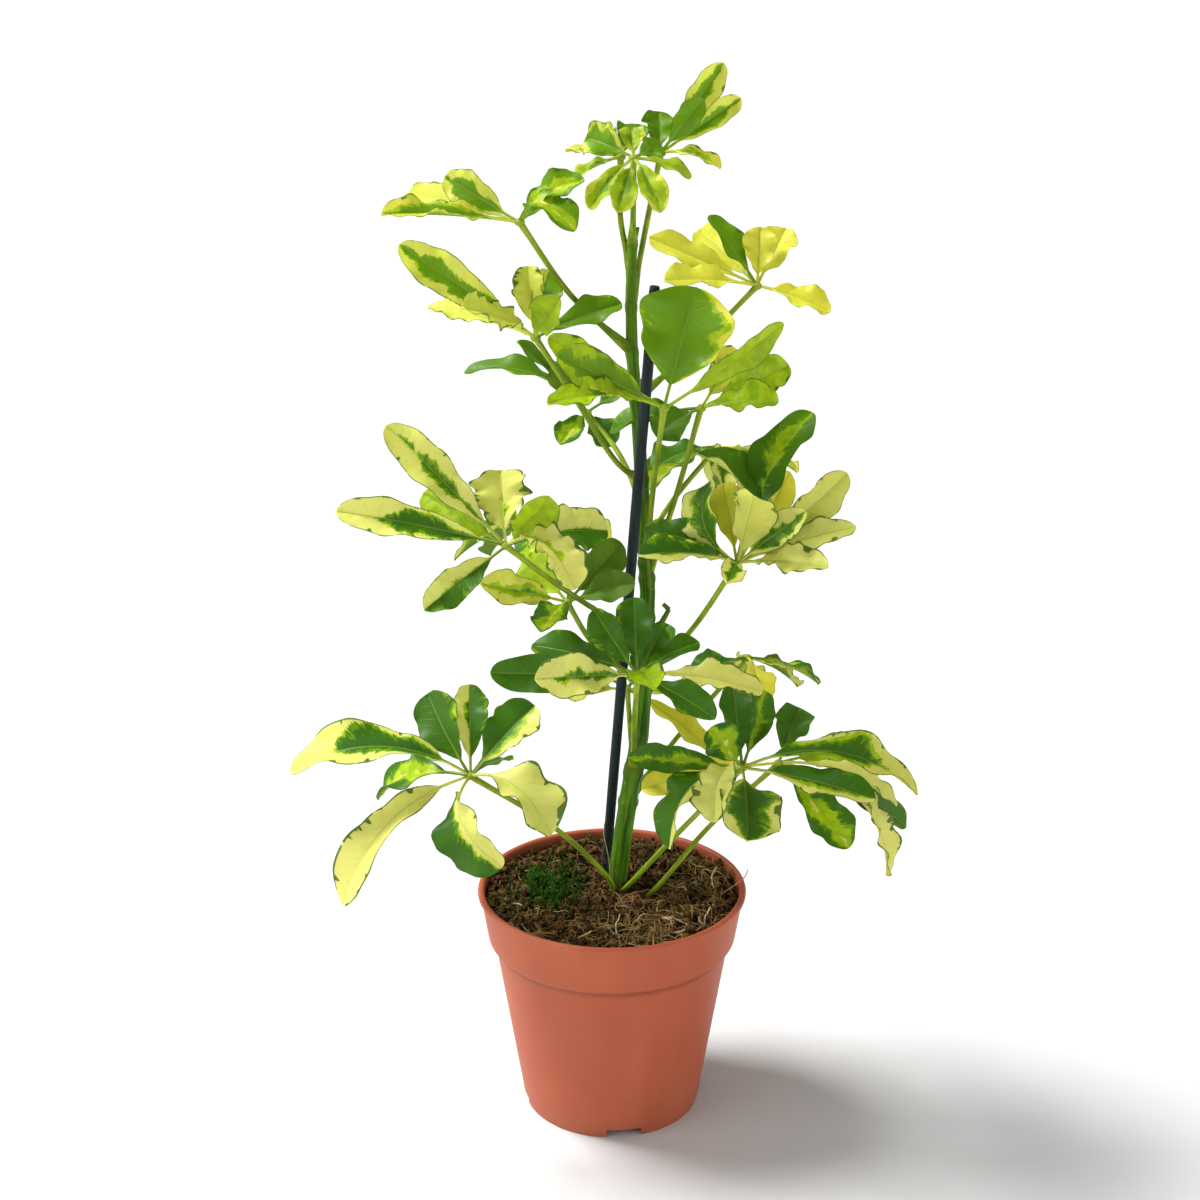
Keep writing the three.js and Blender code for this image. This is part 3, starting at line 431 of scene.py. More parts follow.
# A leaf: the height where its stalk leaves the stem, points that the stalk passes, its hub, and its leaflets
# as (bearing, toward the viewer, length, width, roll, droop, look).
LEAVES = {
    "leaf_crown": (390, ((8, -3, 408),), (8, -4, 425), [
        (-133, 25, 28, 11, -16, 45, "b"), (-110, 46, 28, 12, -19, 16, "b"), (-61, 43, 29, 12, 5, 50, "b"),
        (95, -59, 19, 12, 1, 10, "b"), (20, -35, 14, 11, 39, 30, "g"), (-18, 10, 24, 9, 4, 40, "o"),
        (161, -35, 24, 17, -40, 40, "C"),
    ]),
    "leaf_crown_side": (380, ((3, 3, 400),), (3, 10, 424), [
        (-156, 16, 21, 9, -5, 30, "b"), (135, -51, 21, 12, -18, 20, "C"), (177, -28, 25, 9, -3, 20, "y"),
        (53, -50, 21, 15, 10, 20, "g"),
    ]),
    "leaf_crown_right": (366, ((13, 3, 396),), (19, 6, 426), [
        (54, -11, 43, 13, 59, 6, "c"), (31, -28, 43, 11, 54, 6, "c"), (93, -43, 20, 15, -3, 12, "g"),
        (-12, 23, 26, 10, 13, 55, "y"), (53, 4, 27, 11, 72, 8, "g"),
    ]),
    "leaf_upper_left": (347, ((-17, -11, 372),), (-37, -12, 401), [
        (175, 14, 55, 18, 2, 14, "k"), (151, -19, 36, 16, -41, 14, "c"), (172, -40, 62, 14, -20, 20, "w"),
        (34, 15, 32, 15, 23, 78, "l"), (-1, 45, 31, 16, -14, 150, "l"), (5, -68, 37, 14, 28, 30, "g"),
    ]),
    "leaf_upper_right": (327, ((34, 14, 345),), (61, 34, 368), [
        (157, -7, 50, 14, -62, 8, "p"), (173, 22, 43, 17, -22, 20, "p"), (126, -16, 36, 15, -43, 8, "g"),
        (141, -49, 45, 17, -63, 16, "p"), (57, -41, 33, 17, -23, 12, "p"), (86, -28, 26, 16, -53, 10, "p"),
        (-17, 18, 33, 15, 48, 24, "Y"),
    ]),
    "leaf_high_left": (293, ((3, -5, 300), (-14, -13, 328)), (-31, -18, 356), [
        (146, -4, 65, 17, -32, 18, "c"), (147, 43, 44, 18, -44, 24, "w"), (98, -37, 32, 15, 11, 10, "w"),
        (78, -47, 34, 14, 39, 14, "h"), (64, 42, 30, 15, 72, 30, "o"), (20, -9, 37, 14, 29, 30, "d"),
        (169, -26, 50, 12, 1, 30, "w"),
    ]),
    "leaf_high_front": (257, ((17, -16, 298),), (20, -34, 331), [
        (75, -12, 49, 39, 1, 8, "G"), (152, 5, 48, 18, -30, 12, "u"), (174, 17, 48, 16, 14, 50, "r"),
        (150, -13, 54, 14, -41, 14, "r"), (33, -16, 59, 13, 63, 14, "o"),
    ]),
    "leaf_high_right": (250, ((24, -3, 278),), (36, -8, 325), [
        (11, 25, 34, 17, 24, 30, "r"), (22, -20, 42, 17, 32, 16, "r"), (45, -57, 43, 16, 10, 16, "y"),
        (-151, 16, 22, 17, -10, 40, "d"), (-158, -29, 45, 17, -21, 26, "d"),
    ]),
    "leaf_high_back": (283, ((2, 20, 300),), (-11, 44, 311), [
        (163, -6, 56, 15, -31, 85, "d"), (133, 5, 44, 12, -56, 12, "g"), (121, 12, 28, 19, -120, 14, "q"),
        (19, -34, 35, 16, 30, 20, "g"), (-142, 57, 26, 13, -43, 24, "l"), (-47, 41, 21, 15, 22, 40, "d"),
    ]),
    "leaf_middle_left": (225, ((0, -15, 236), (-25, -30, 258)), (-43, -40, 276), [
        (136, -12, 68, 18, 8, 12, "s"), (167, 3, 69, 17, -15, 24, "e"), (-151, 40, 46, 15, -43, 12, "H"),
        (96, -34, 32, 27, 18, 14, "v"), (-20, 41, 39, 21, -39, 140, "v"), (7, -6, 41, 21, 13, 55, "h"),
        (155, -28, 43, 16, -12, 16, "r"), (53, 19, 31, 20, 84, 20, "o"),
    ]),
    "leaf_middle_lower": (200, ((-8, -10, 223),), (-19, -16, 244), [
        (158, 26, 42, 15, -43, 12, "y"), (133, -31, 27, 22, -27, 14, "o"), (45, -21, 34, 18, 51, 12, "q"),
        (-174, 73, 35, 15, -21, 30, "l"), (70, -66, 30, 16, 8, 16, "m"), (19, 4, 30, 14, 30, 20, "q"),
    ]),
    "leaf_middle_right": (206, ((32, -20, 232),), (50, -38, 268), [
        (83, 33, 41, 22, 62, 8, "O"), (169, 19, 43, 16, 8, 40, "h"), (163, -12, 40, 17, -2, 40, "d"),
        (110, -27, 35, 22, -82, 135, "C"), (111, -15, 47, 26, 15, 160, "h"), (62, -17, 68, 21, -43, 60, "L"),
        (53, -38, 48, 14, 15, 16, "Y"), (39, -8, 57, 18, 38, 30, "O"), (10, 35, 42, 16, 8, 24, "w"),
        (20, 7, 50, 13, 4, 26, "w"), (155, 79, 35, 11, 9, 30, "c"), (99, -47, 38, 15, -30, 10, "Y"),
        (45, 21, 39, 13, 25, 20, "c"),
    ]),
    "leaf_low_front": (162, ((9, -28, 192),), (10, -46, 223), [
        (126, -18, 32, 16, -41, 10, "d"), (93, -30, 32, 17, -3, 8, "d"), (-180, -2, 60, 17, -31, 12, "g"),
        (174, -27, 49, 17, 12, 20, "d"), (171, 28, 47, 19, -24, 20, "s"), (22, -20, 29, 12, -16, 34, "g"),
        (46, -60, 30, 15, 26, 14, "d"), (49, 75, 35, 15, 7, 50, "r"), (-6, 7, 51, 16, -14, 34, "w"),
        (-19, 34, 39, 15, -5, 22, "d"),
    ]),
    "leaf_low_back": (160, ((8, 15, 176),), (7, 30, 187), [
        (-34, 13, 46, 13, 29, 24, "Y"), (162, -21, 34, 18, -19, 30, "d"), (117, -43, 38, 18, -1, 20, "c"),
        (48, -42, 39, 18, 20, 20, "g"), (34, -62, 34, 16, 27, 20, "g"), (-8, 7, 32, 14, 24, 30, "y"),
        (-162, -39, 42, 16, -57, 20, "y"),
    ]),
    "leaf_base_left": (98, ((-1, -5, 110), (-25, -17, 141)), (-60, -32, 172), [
        (176, 5, 75, 25, 10, 95, "e"), (-138, 20, 75, 24, -6, 90, "W"), (-60, 49, 45, 28, 22, 135, "j"),
        (-26, 30, 44, 28, -40, 120, "W"), (124, -34, 41, 22, -2, 24, "d"), (92, -37, 40, 17, 40, 16, "h"),
        (42, -29, 41, 22, 29, 24, "K"), (-42, -68, 50, 12, 41, 20, "d"), (-152, -33, 55, 22, 15, 60, "l"),
    ]),
    "leaf_base_right": (98, ((8, -5, 108), (24, -13, 131)), (55, -26, 173), [
        (172, 5, 49, 14, -18, 12, "L"), (-137, 23, 46, 21, 47, 140, "h"), (-147, 66, 39, 20, 52, 115, "w"),
        (-91, 70, 43, 30, 11, 24, "C"), (-8, 3, 75, 22, -10, 100, "E"), (-2, 28, 60, 16, 15, 22, "K"),
        (96, -42, 38, 16, -23, 16, "d"), (61, -54, 42, 14, 3, 16, "L"), (130, -10, 22, 19, -28, 20, "l"),
    ]),
    "leaf_base_far_right": (90, ((16, -7, 103), (43, -3, 135)), (73, -2, 165), [
        (-17, 11, 54, 17, 10, 66, "w"), (-45, 33, 48, 20, 43, 24, "l"), (-46, 7, 70, 20, 8, 112, "w"),
        (-30, -5, 67, 15, 29, 56, "d"), (-170, 4, 61, 18, -20, 30, "Y"), (54, -54, 32, 18, -33, 20, "g"),
        (-6, -33, 48, 17, 13, 30, "m"),
    ]),
    "leaf_back_high": (264, [(26, 20, 278)], (46, 42, 296), whorl(6, 90, 46, 19, "cldcyg")),
    "leaf_back_left": (232, [(-8, 22, 250)], (-34, 46, 262), whorl(7, 120, 47, 19, "dchlycd")),
    "leaf_back_right": (146, [(30, 22, 168)], (62, 47, 196), whorl(6, 90, 43, 18, "ycdYlc")),
}
NODE_HEIGHTS = np.array([leaf[0] for leaf in LEAVES.values()], float)


def stem_at(z):
    """The stem's middle and radius at heights z: straight between its marks, thicker at each node."""
    path = np.array(STEM_PATH, float)
    middle = np.stack([np.interp(z, path[:, 2], path[:, i]) for i in range(3)], -1)
    middle[..., 2] = z
    swell = np.exp(-(((np.asarray(z)[..., None] - NODE_HEIGHTS + 0.5) / 2.2) ** 2)).max(-1)
    return middle, np.interp(z, path[:, 2], path[:, 3]) * (1 + 0.16 * swell)


def stalk_skin(leaf, seed):
    """A leaf's stalk: a tube on its route, wide where it clasps the stem, a little swollen under the hub."""
    height, via, hub, _ = leaf
    route = smooth_path([stem_at(float(height))[0], *via, hub], 14)[None]
    run = np.linspace(0, 1, route.shape[1])
    radius = STALK_RADIUS * (0.86 + 0.16 * ramp(run, 0.86, 1))
    radius = radius + (STALK_FOOT_RADIUS - STALK_RADIUS * 0.86) * (1 - ramp(run, 0.02, 0.34)) ** 1.5
    rings = tubes(route, radius[None], STALK_SIDES)
    marks = tube_marks(rings, np.arange(STALK_SIDES) / STALK_SIDES, run[None, :, None], seed)
    return *close_skins(rings, marks), 1


def hub_skin(hub, seed):
    """The hub where the leaflets meet: a sphere a little flattened, with a knobbly ring."""
    polar = np.linspace(0.12, np.pi - 0.12, HUB_ROWS)[:, None]
    turn = around(HUB_COLUMNS)[None]
    radius = HUB_RADIUS * (0.93 + 0.09 * np.sin(7 * turn + seed * 9) * np.sin(polar))
    out = radius * np.sin(polar)
    ball = np.stack([out * np.cos(turn), out * np.sin(turn), 0.8 * radius * np.cos(polar)], -1)
    rings = (np.array(hub, float) + ball)[None]
    return *close_skins(rings, tube_marks(rings, 0.0, 1.0, seed)), 1


def make_leaves():
    """One piece for each leaf: its leaflets, its hub and its stalk."""
    for number, (name, leaf) in enumerate(LEAVES.items()):
        made = []
        for k, row in enumerate(leaf[3]):
            row = (*row[:6], LOOKS[row[6]])
            made.append(blade(np.array(leaf[2], float), row, chances(number, k), number + 0.37 * k))
        rings = np.stack([m[0] for m in made])
        marks = {mark: np.stack([m[1][mark] for m in made]) for mark in made[0][1]}
        seed = number * 0.7
        skins = [(*close_skins(rings, marks), 0), stalk_skin(leaf, seed), hub_skin(leaf[2], seed)]
        make_piece("grown_" + name, skins, [blade_finish, stalk_finish], [name])


# ---------------------------------------------------------------- stem and stake


def make_stem():
    """The stem: a tube with swollen nodes, ridges along it, a ring scar over each node, and its stipules."""
    z = np.linspace(STEM_PATH[0][2], STEM_PATH[-1][2], STEM_ROWS)
    middle, radius = stem_at(z)
    scar = np.exp(-(((z[:, None] - NODE_HEIGHTS - 1.6) / 0.5) ** 2)).max(-1)
    radius = radius - 0.12 * scar
    radius[-14:] *= np.sqrt(np.linspace(1, 0.1, 14))
    rings = tubes(middle[None], radius[None], STEM_SIDES)
    turn = around(STEM_SIDES)[None, None, :, None]
    ridge = 0.035 * np.sin(5 * turn + z[None, :, None, None] * 0.02) + 0.015 * np.sin(11 * turn + 1)
    rings = middle[None, :, None] + (rings - middle[None, :, None]) * (1 + ridge * 0.6)
    marks = tube_marks(rings, turn[..., 0], z[None, :, None], scar[None, :, None])
    skins = [(*close_skins(rings, marks), 0)]
    starts, ends = (np.array([stipule[i] for stipule in STIPULES])[:, None] for i in (0, 1))
    run = np.linspace(0, 1, 8)[None, :, None]
    radii = np.array([stipule[2] for stipule in STIPULES])[:, None] * (1 - 0.2 * run[..., 0])
    stipules = tubes(starts + (ends - starts) * run, radii, 8)
    # Their mark says a height near the tip, so that they get its pale colour.
    skins.append((*close_skins(stipules, tube_marks(stipules, 0.0, 360.0)), 0))
    make_piece("grown_stem", skins, [stem_finish], ["stem"])


def make_stake():
    """The stake: a straight tube with slight ridges along it, slight waves in its radius, and a cut top."""
    run = np.linspace(0, 1, STAKE_ROWS)
    path = np.array(STAKE_FOOT) + (np.array(STAKE_TOP) - STAKE_FOOT) * run[:, None]
    radius = STAKE_RADIUS * (0.985 + 0.012 * np.sin(37 * run))
    radius[-2:] *= [0.99, 0.9]
    rings = tubes(path[None], radius[None], STAKE_SIDES)
    turn = around(STAKE_SIDES)[None, None, :, None]
    ridge = 0.012 * np.sin(9 * turn + 3 * run[None, :, None, None]) + 0.008 * np.sin(14 * turn)
    rings = path[None, :, None] + (rings - path[None, :, None]) * (1 + ridge)
    make_piece("pushed_in_stake", [(*close_skins(rings), 0)], [stake_finish], ["stake"])


# ---------------------------------------------------------------- soil

source = np.random.default_rng(41)


def soil_top(x, y):
    """Height of the soil: its level, a mound in the middle, and two crossed waves for its lumps."""
    slow = np.sin(0.19 * x + 1.3) * np.cos(0.23 * y - 0.4)
    quick = np.sin(0.61 * x + 0.37 * y) * np.cos(0.53 * y - 0.29 * x + 2)
    mound = SOIL_MOUND * np.exp(-(x * x + y * y) / SOIL_MOUND_RADIUS**2)
    return SOIL_LEVEL + mound + SOIL_LUMP * (0.55 * slow + 0.45 * quick)


def crumble(x, y, longest, shortest, count, seed):
    """Roughness from -1 to 1: a mean of sine waves in seeded directions, of lengths between the two given."""
    wave_source = np.random.default_rng(seed)
    lengths = longest * (shortest / longest) ** wave_source.random(count)
    turns, phases = wave_source.random((2, count)) * 2 * np.pi
    total = np.zeros_like(x)
    for length, turn, phase in zip(lengths, turns, phases):
        total += np.sin(2 * np.pi * (x * np.cos(turn) + y * np.sin(turn)) / length + phase)
    return total / np.sqrt(count / 2) / 2


def heap(x, y, middle_x, middle_y, radius, height):
    """A round heap (or hollow, with a height below zero) that fades out with the square of the distance."""
    return height * np.exp(-((x - middle_x) ** 2 + (y - middle_y) ** 2) / radius**2)


def rough_top(x, y):
    """The soil's height with its crumbs: folded roughness of three sizes, and the heaps and hollows."""
    folded = np.abs(crumble(x, y, 17, 8, 9, 3)) * 3.4 + np.abs(crumble(x, y, 6, 2.6, 12, 5)) * 2.1
    fine = np.abs(crumble(x, y, 2.4, 1.1, 14, 9)) * 0.9
    crumbs = (folded + fine - 2.1) * (1 - 0.35 * ramp(np.hypot(x, y), 50, 56))
    return soil_top(x, y) + crumbs + sum(heap(x, y, *row) for row in HEAPS)


def any_turns(count):
    """Seeded directions all round, in radians."""
    return source.random(count) * 2 * np.pi


def scatter(count, radius):
    """Seeded places, as x and y, spread evenly over a disc round the axis."""
    far = radius * np.sqrt(source.random(count))
    angle = any_turns(count)
    return np.stack([far * np.cos(angle), far * np.sin(angle)], -1)


def make_soil():
    """The soil: a round grid with crumbled heights, whose edge goes down the pot's wall, and loose crumbs.

    Each crumb is a small lumpy ball, flattened, tilted and turned, with its middle just above the soil.
    """
    radius = np.linspace(0.4, SOIL_EDGE, SOIL_ROWS)[:, None]
    turn = around(SOIL_COLUMNS)[None]
    x, y = radius * np.cos(turn), radius * np.sin(turn)
    top = np.stack([x, y, rough_top(x, y)], -1)
    out, height = (np.array(SOIL_SIDE)[:, i:i + 1] for i in (0, 1))
    side = np.stack([out * np.cos(turn), out * np.sin(turn), height + 0 * turn], -1)
    skins = [(*close_skins(np.concatenate([top, side])[None]), 0)]

    seat = scatter(CRUMB_COUNT, SOIL_EDGE * 0.985)
    size = 0.45 + 2.1 * source.random(CRUMB_COUNT) ** 3.2
    polar, turn = np.linspace(0.25, np.pi - 0.25, 4)[None, :, None], around(6)[None, None]
    lump = 1 + 0.45 * (source.random((CRUMB_COUNT, 4, 6)) - 0.5)
    ball = [lump * np.sin(polar) * np.cos(turn) * 1.35, lump * np.sin(polar) * np.sin(turn),
            lump * np.cos(polar) * 0.75 + 0 * turn]
    x, y, z = (part * size[:, None, None] for part in ball)
    tilt, spin = source.random(CRUMB_COUNT) * 1.2 - 0.6, any_turns(CRUMB_COUNT)
    x, z = turned(x, z, tilt[:, None, None])
    x, y = turned(x, y, spin[:, None, None])
    seat = np.column_stack([seat, rough_top(*seat.T) + 0.2 * size])
    skins.append((*close_skins(np.stack([x, y, z], -1) + seat[:, None, None]), 0))
    make_piece("peat_soil", skins, [soil_finish], ["soil"])


def fibre_skin(start, turn, length, bend, lift, radius, tone, points=9, sides=4):
    """Fibres: tapered tubes that wander over the soil, bent by one and two half waves, and lifted between.

    Each follows the soil's lumps, at the mean height of the crumbs under it.
    """
    t = np.linspace(0, 1, points)[None]
    sideways = bend[:, None] * np.sin(np.pi * t) + 0.45 * np.roll(bend, 3)[:, None] * np.sin(2 * np.pi * t)
    x, y = turned(length[:, None] * t, sideways, turn[:, None])
    x, y = start[:, :1] + x, start[:, 1:] + y
    pull = np.minimum(1, (SOIL_EDGE + 0.6) / np.hypot(x, y))
    x, y = x * pull, y * pull
    crumbs = rough_top(x, y) - soil_top(x, y)
    settled = 0.2 * crumbs + 0.8 * crumbs.mean(1, keepdims=True) + 0.55
    z = soil_top(x, y) + settled + lift[:, None] * np.sin(np.pi * t) ** 0.8
    rings = tubes(np.stack([x, y, z], -1), radius[:, None] * (1 - 0.75 * t**2), sides)
    return *close_skins(rings, tube_marks(rings, tone[:, None, None], t[..., None])), 0


def make_fibres():
    """Coir fibres and dead roots over the soil: many short thin ones, tufts in places, and long pale ones."""
    count = FIBRE_COUNT
    start = scatter(count, SOIL_EDGE * 0.97)
    skins = [fibre_skin(start, any_turns(count), 4 + 15 * source.random(count) ** 1.6,
                        (source.random(count) - 0.5) * 5, 0.2 + 2.0 * source.random(count) ** 2,
                        0.10 + 0.2 * source.random(count) ** 2, 0.62 * source.random(count) ** 0.8)]
    count = TUFT_FIBRE_COUNT
    start = np.array(TUFTS)[source.integers(0, len(TUFTS), count)]
    start = start + source.normal(size=(count, 2)) * TUFT_SPREAD
    skins.append(fibre_skin(start, any_turns(count), 6 + 13 * source.random(count),
                            (source.random(count) - 0.5) * 5, 0.6 + 2.4 * source.random(count),
                            0.13 + 0.2 * source.random(count) ** 2, 0.25 + 0.6 * source.random(count)))
    roots, count = np.array(ROOTS), len(ROOTS)
    skins.append(fibre_skin(roots[:, :2], *roots.T[2:], np.full(count, ROOT_RADIUS),
                            0.9 + 0.15 * source.random(count), 24, 7))
    for knots, radius, pale in SINGLE_FIBRES:
        path = smooth_path(knots, 8)[None]
        rings = tubes(path, np.full(path.shape[:2], radius), 6)
        skins.append((*close_skins(rings, tube_marks(rings, pale, 0.0)), 0))
    make_piece("soil_fibres", skins, [fibre_finish])


def make_moss():
    """Moss: a patch of short curved blades that lean outwards, thickest in its middle, and a few strays."""
    spread = source.normal(size=(MOSS_COUNT, 2))
    stray = source.random(MOSS_COUNT) < MOSS_STRAY_SHARE
    strays = scatter(MOSS_COUNT, MOSS_STRAY_RADIUS)
    start = np.where(stray[:, None], strays, np.array(MOSS_MIDDLE) + spread * np.array(MOSS_SPREAD))
    start = start[np.hypot(*start.T) < 54.5]
    count = len(start)
    t = np.linspace(0, 1, 4)[None]
    tuft = 1 + 0.9 * crumble(start[:, 0], start[:, 1], 11, 5, 9, 21)
    height = (1.2 + 3.0 * source.random(count)) * np.clip(tuft, 0.25, 2.0)
    turn, lean = any_turns(count), 0.8 + 2.8 * source.random(count) ** 1.5
    x = start[:, :1] + (lean * np.cos(turn))[:, None] * t**1.6
    y = start[:, 1:] + (lean * np.sin(turn))[:, None] * t**1.6
    z = rough_top(x[:, :1], y[:, :1]) - 0.3 + height[:, None] * t
    rings = tubes(np.stack([x, y, z], -1), (0.42 * (1 - 0.8 * t**2)) * np.ones((count, 1)), 3)
    marks = tube_marks(rings, source.random(count)[:, None, None], t[..., None])
    make_piece("soil_moss", [(*close_skins(rings, marks), 0)], [moss_finish])


# ---------------------------------------------------------------- pot


def pot_turns():
    """Angles round the pot, even but for two close ones at each side of each notch in the foot."""
    half = np.degrees(NOTCH_WIDTH / 2 / FOOT_RADIUS)
    middles = FIRST_NOTCH_DEG + 360 / NOTCH_COUNT * np.arange(NOTCH_COUNT)
    sides = np.array([m + e * half + d for m in middles for e in (-1, 1) for d in (-0.35, 0.35)])
    even = np.linspace(-180, 180, POT_COLUMNS, endpoint=False)
    clear = np.abs((even[:, None] - sides + 180) % 360 - 180).min(1) > 0.7
    turns = np.sort(np.concatenate([(even[clear] + 180) % 360, (sides + 180) % 360])) - 180
    inside = (np.abs((turns[:, None] - middles + 180) % 360 - 180) < half).any(1)
    return np.radians(turns), inside


def body_at(z):
    """The body's outer radius: it widens evenly from the foot to the step under the collar."""
    return FOOT_RADIUS + (BODY_RADIUS - FOOT_RADIUS) * z / (COLLAR_BOTTOM - COLLAR_STEP)


def collar_at(z):
    """The collar's outer radius: it widens evenly from its bottom to the bead."""
    share = (z - COLLAR_BOTTOM) / (POT_HEIGHT - BEAD_HEIGHT - COLLAR_BOTTOM)
    return COLLAR_RADIUS + (RIM_RADIUS - BEAD_DEPTH - COLLAR_RADIUS) * share


def pot_profile():
    """The pot's closed profile as (radius, height, 1 where a notch cuts it): outside, rim, inside, floor."""
    foot_in, rim, bead_in = FOOT_RADIUS - FOOT_WIDTH, POT_HEIGHT - BEAD_HEIGHT, RIM_RADIUS - BEAD_DEPTH
    outside = [(foot_in + 0.3, 0, 1), (foot_in + 0.9, 0, 1), (body_at(0) - 0.5, 0, 1),
               (body_at(0) - 0.12, 0.15, 1), (body_at(0), 0.5, 1)]
    outside += [(body_at(z), z, 0) for z in BODY_RINGS]
    outside += [(body_at(79) + 0.25, 79.3, 0), (54.0, 80.4, 0), (55.0, 81.5, 0), (55.42, 82.1, 0),
                (55.55, 82.8, 0)]
    outside += [(collar_at(z), z, 0) for z in COLLAR_RINGS]
    outside += [(collar_at(rim) + 0.12, rim, 0), (RIM_RADIUS - 0.35, rim + 0.25, 0),
                (RIM_RADIUS, rim + 0.8, 0), (RIM_RADIUS, rim + 1.6, 0),
                (RIM_RADIUS - 0.3, POT_HEIGHT - 0.35, 0),
                (RIM_RADIUS - 0.9, POT_HEIGHT, 0), (bead_in - 0.4, POT_HEIGHT, 0),
                (bead_in - 1.1, POT_HEIGHT - 0.3, 0), (bead_in - WALL, POT_HEIGHT - 1.0, 0)]
    inner = [(collar_at(z) - WALL, z, 0) for z in INNER_COLLAR_RINGS]
    inner += [(53.6, 82.4, 0), (body_at(78) - WALL, 78, 0)]
    inner += [(body_at(z) - WALL, z, 0) for z in INNER_BODY_RINGS]
    bottom = [(body_at(6) - WALL - 0.5, FLOOR_TOP, 0)]
    bottom += [(across, FLOOR_TOP, 0) for across in (30, 12, 0.4)]
    bottom += [(across, FLOOR_BOTTOM, 0) for across in (0.4, 12, 30, foot_in - 0.4)]
    bottom += [(foot_in, FLOOR_BOTTOM - 0.15, 0), (foot_in, 0.3, 1)]
    return np.array(outside + inner + bottom, float)


def make_pot():
    """The pot: its profile turned round the axis, as a loop that closes on itself.

    Where a notch is, the lowest rings of the foot are lifted to its height. The drain holes are cut out.
    """
    turns, inside = pot_turns()
    radius, z, low = (column[:, None] for column in pot_profile().T)
    height = np.where((low > 0) & inside[None], NOTCH_HEIGHT + 0.02 * z, z)
    ripple = 1 + 0.0006 * np.sin(3 * turns + 1)[None] * (z > 8)
    rings = np.stack([radius * ripple * np.cos(turns), radius * ripple * np.sin(turns), height], -1)
    rows, columns = rings.shape[:2]
    row, here = np.arange(rows)[:, None], np.arange(columns)[None]
    down, after = (row + 1) % rows, (here + 1) % columns
    quads = [row * columns + here, row * columns + after, down * columns + after, down * columns + here]
    quads = np.stack(quads, -1).reshape(-1, 4)
    skin = (rings.reshape(-1, 3), quads, np.zeros((0, 3), int), {}, 0)
    pot = make_piece("moulded_pot", [skin], [pot_finish], ["pot"])
    cut_drains(pot)


def cut_drains(pot):
    """Takes the round drain holes out of the pot's floor."""
    angles = np.radians(360 / DRAIN_COUNT * np.arange(DRAIN_COUNT))
    middle = DRAIN_RING * np.stack([np.cos(angles), np.sin(angles)], -1)
    path = np.stack([np.append(middle, np.full((DRAIN_COUNT, 1), z), 1) for z in (1.0, 9.0)], 1)
    points, quads, fans, _ = close_skins(tubes(path, np.full((DRAIN_COUNT, 2), float(DRAIN_RADIUS)), 32))
    mesh = bpy.data.meshes.new("drain_cutter")
    mesh.from_pydata((points * MM).tolist(), [], quads.tolist() + fans.tolist())
    cutter = bpy.data.objects.new("drain_cutter", mesh)
    bpy.context.scene.collection.objects.link(cutter)
    cut = pot.modifiers.new("drains", "BOOLEAN")
    cut.operation, cut.solver, cut.object = "DIFFERENCE", "EXACT", cutter
    shown = bpy.context.evaluated_depsgraph_get()
    done = bpy.data.meshes.new_from_object(pot.evaluated_get(shown))
    pot.modifiers.clear()
    pot.data = done
    bpy.data.objects.remove(cutter)
    pot.data.shade_smooth()
    pot.data.set_sharp_from_angle(angle=np.radians(40))


# ---------------------------------------------------------------- finishes


def tint(red, green, blue):
    """A colour given as it looks on paper, 0 to 255, made linear."""
    share = np.array([red, green, blue]) / 255
    linear = np.where(share < 0.04045, share / 12.92, ((share + 0.055) / 1.055) ** 2.4)
    return (*linear.tolist(), 1.0)


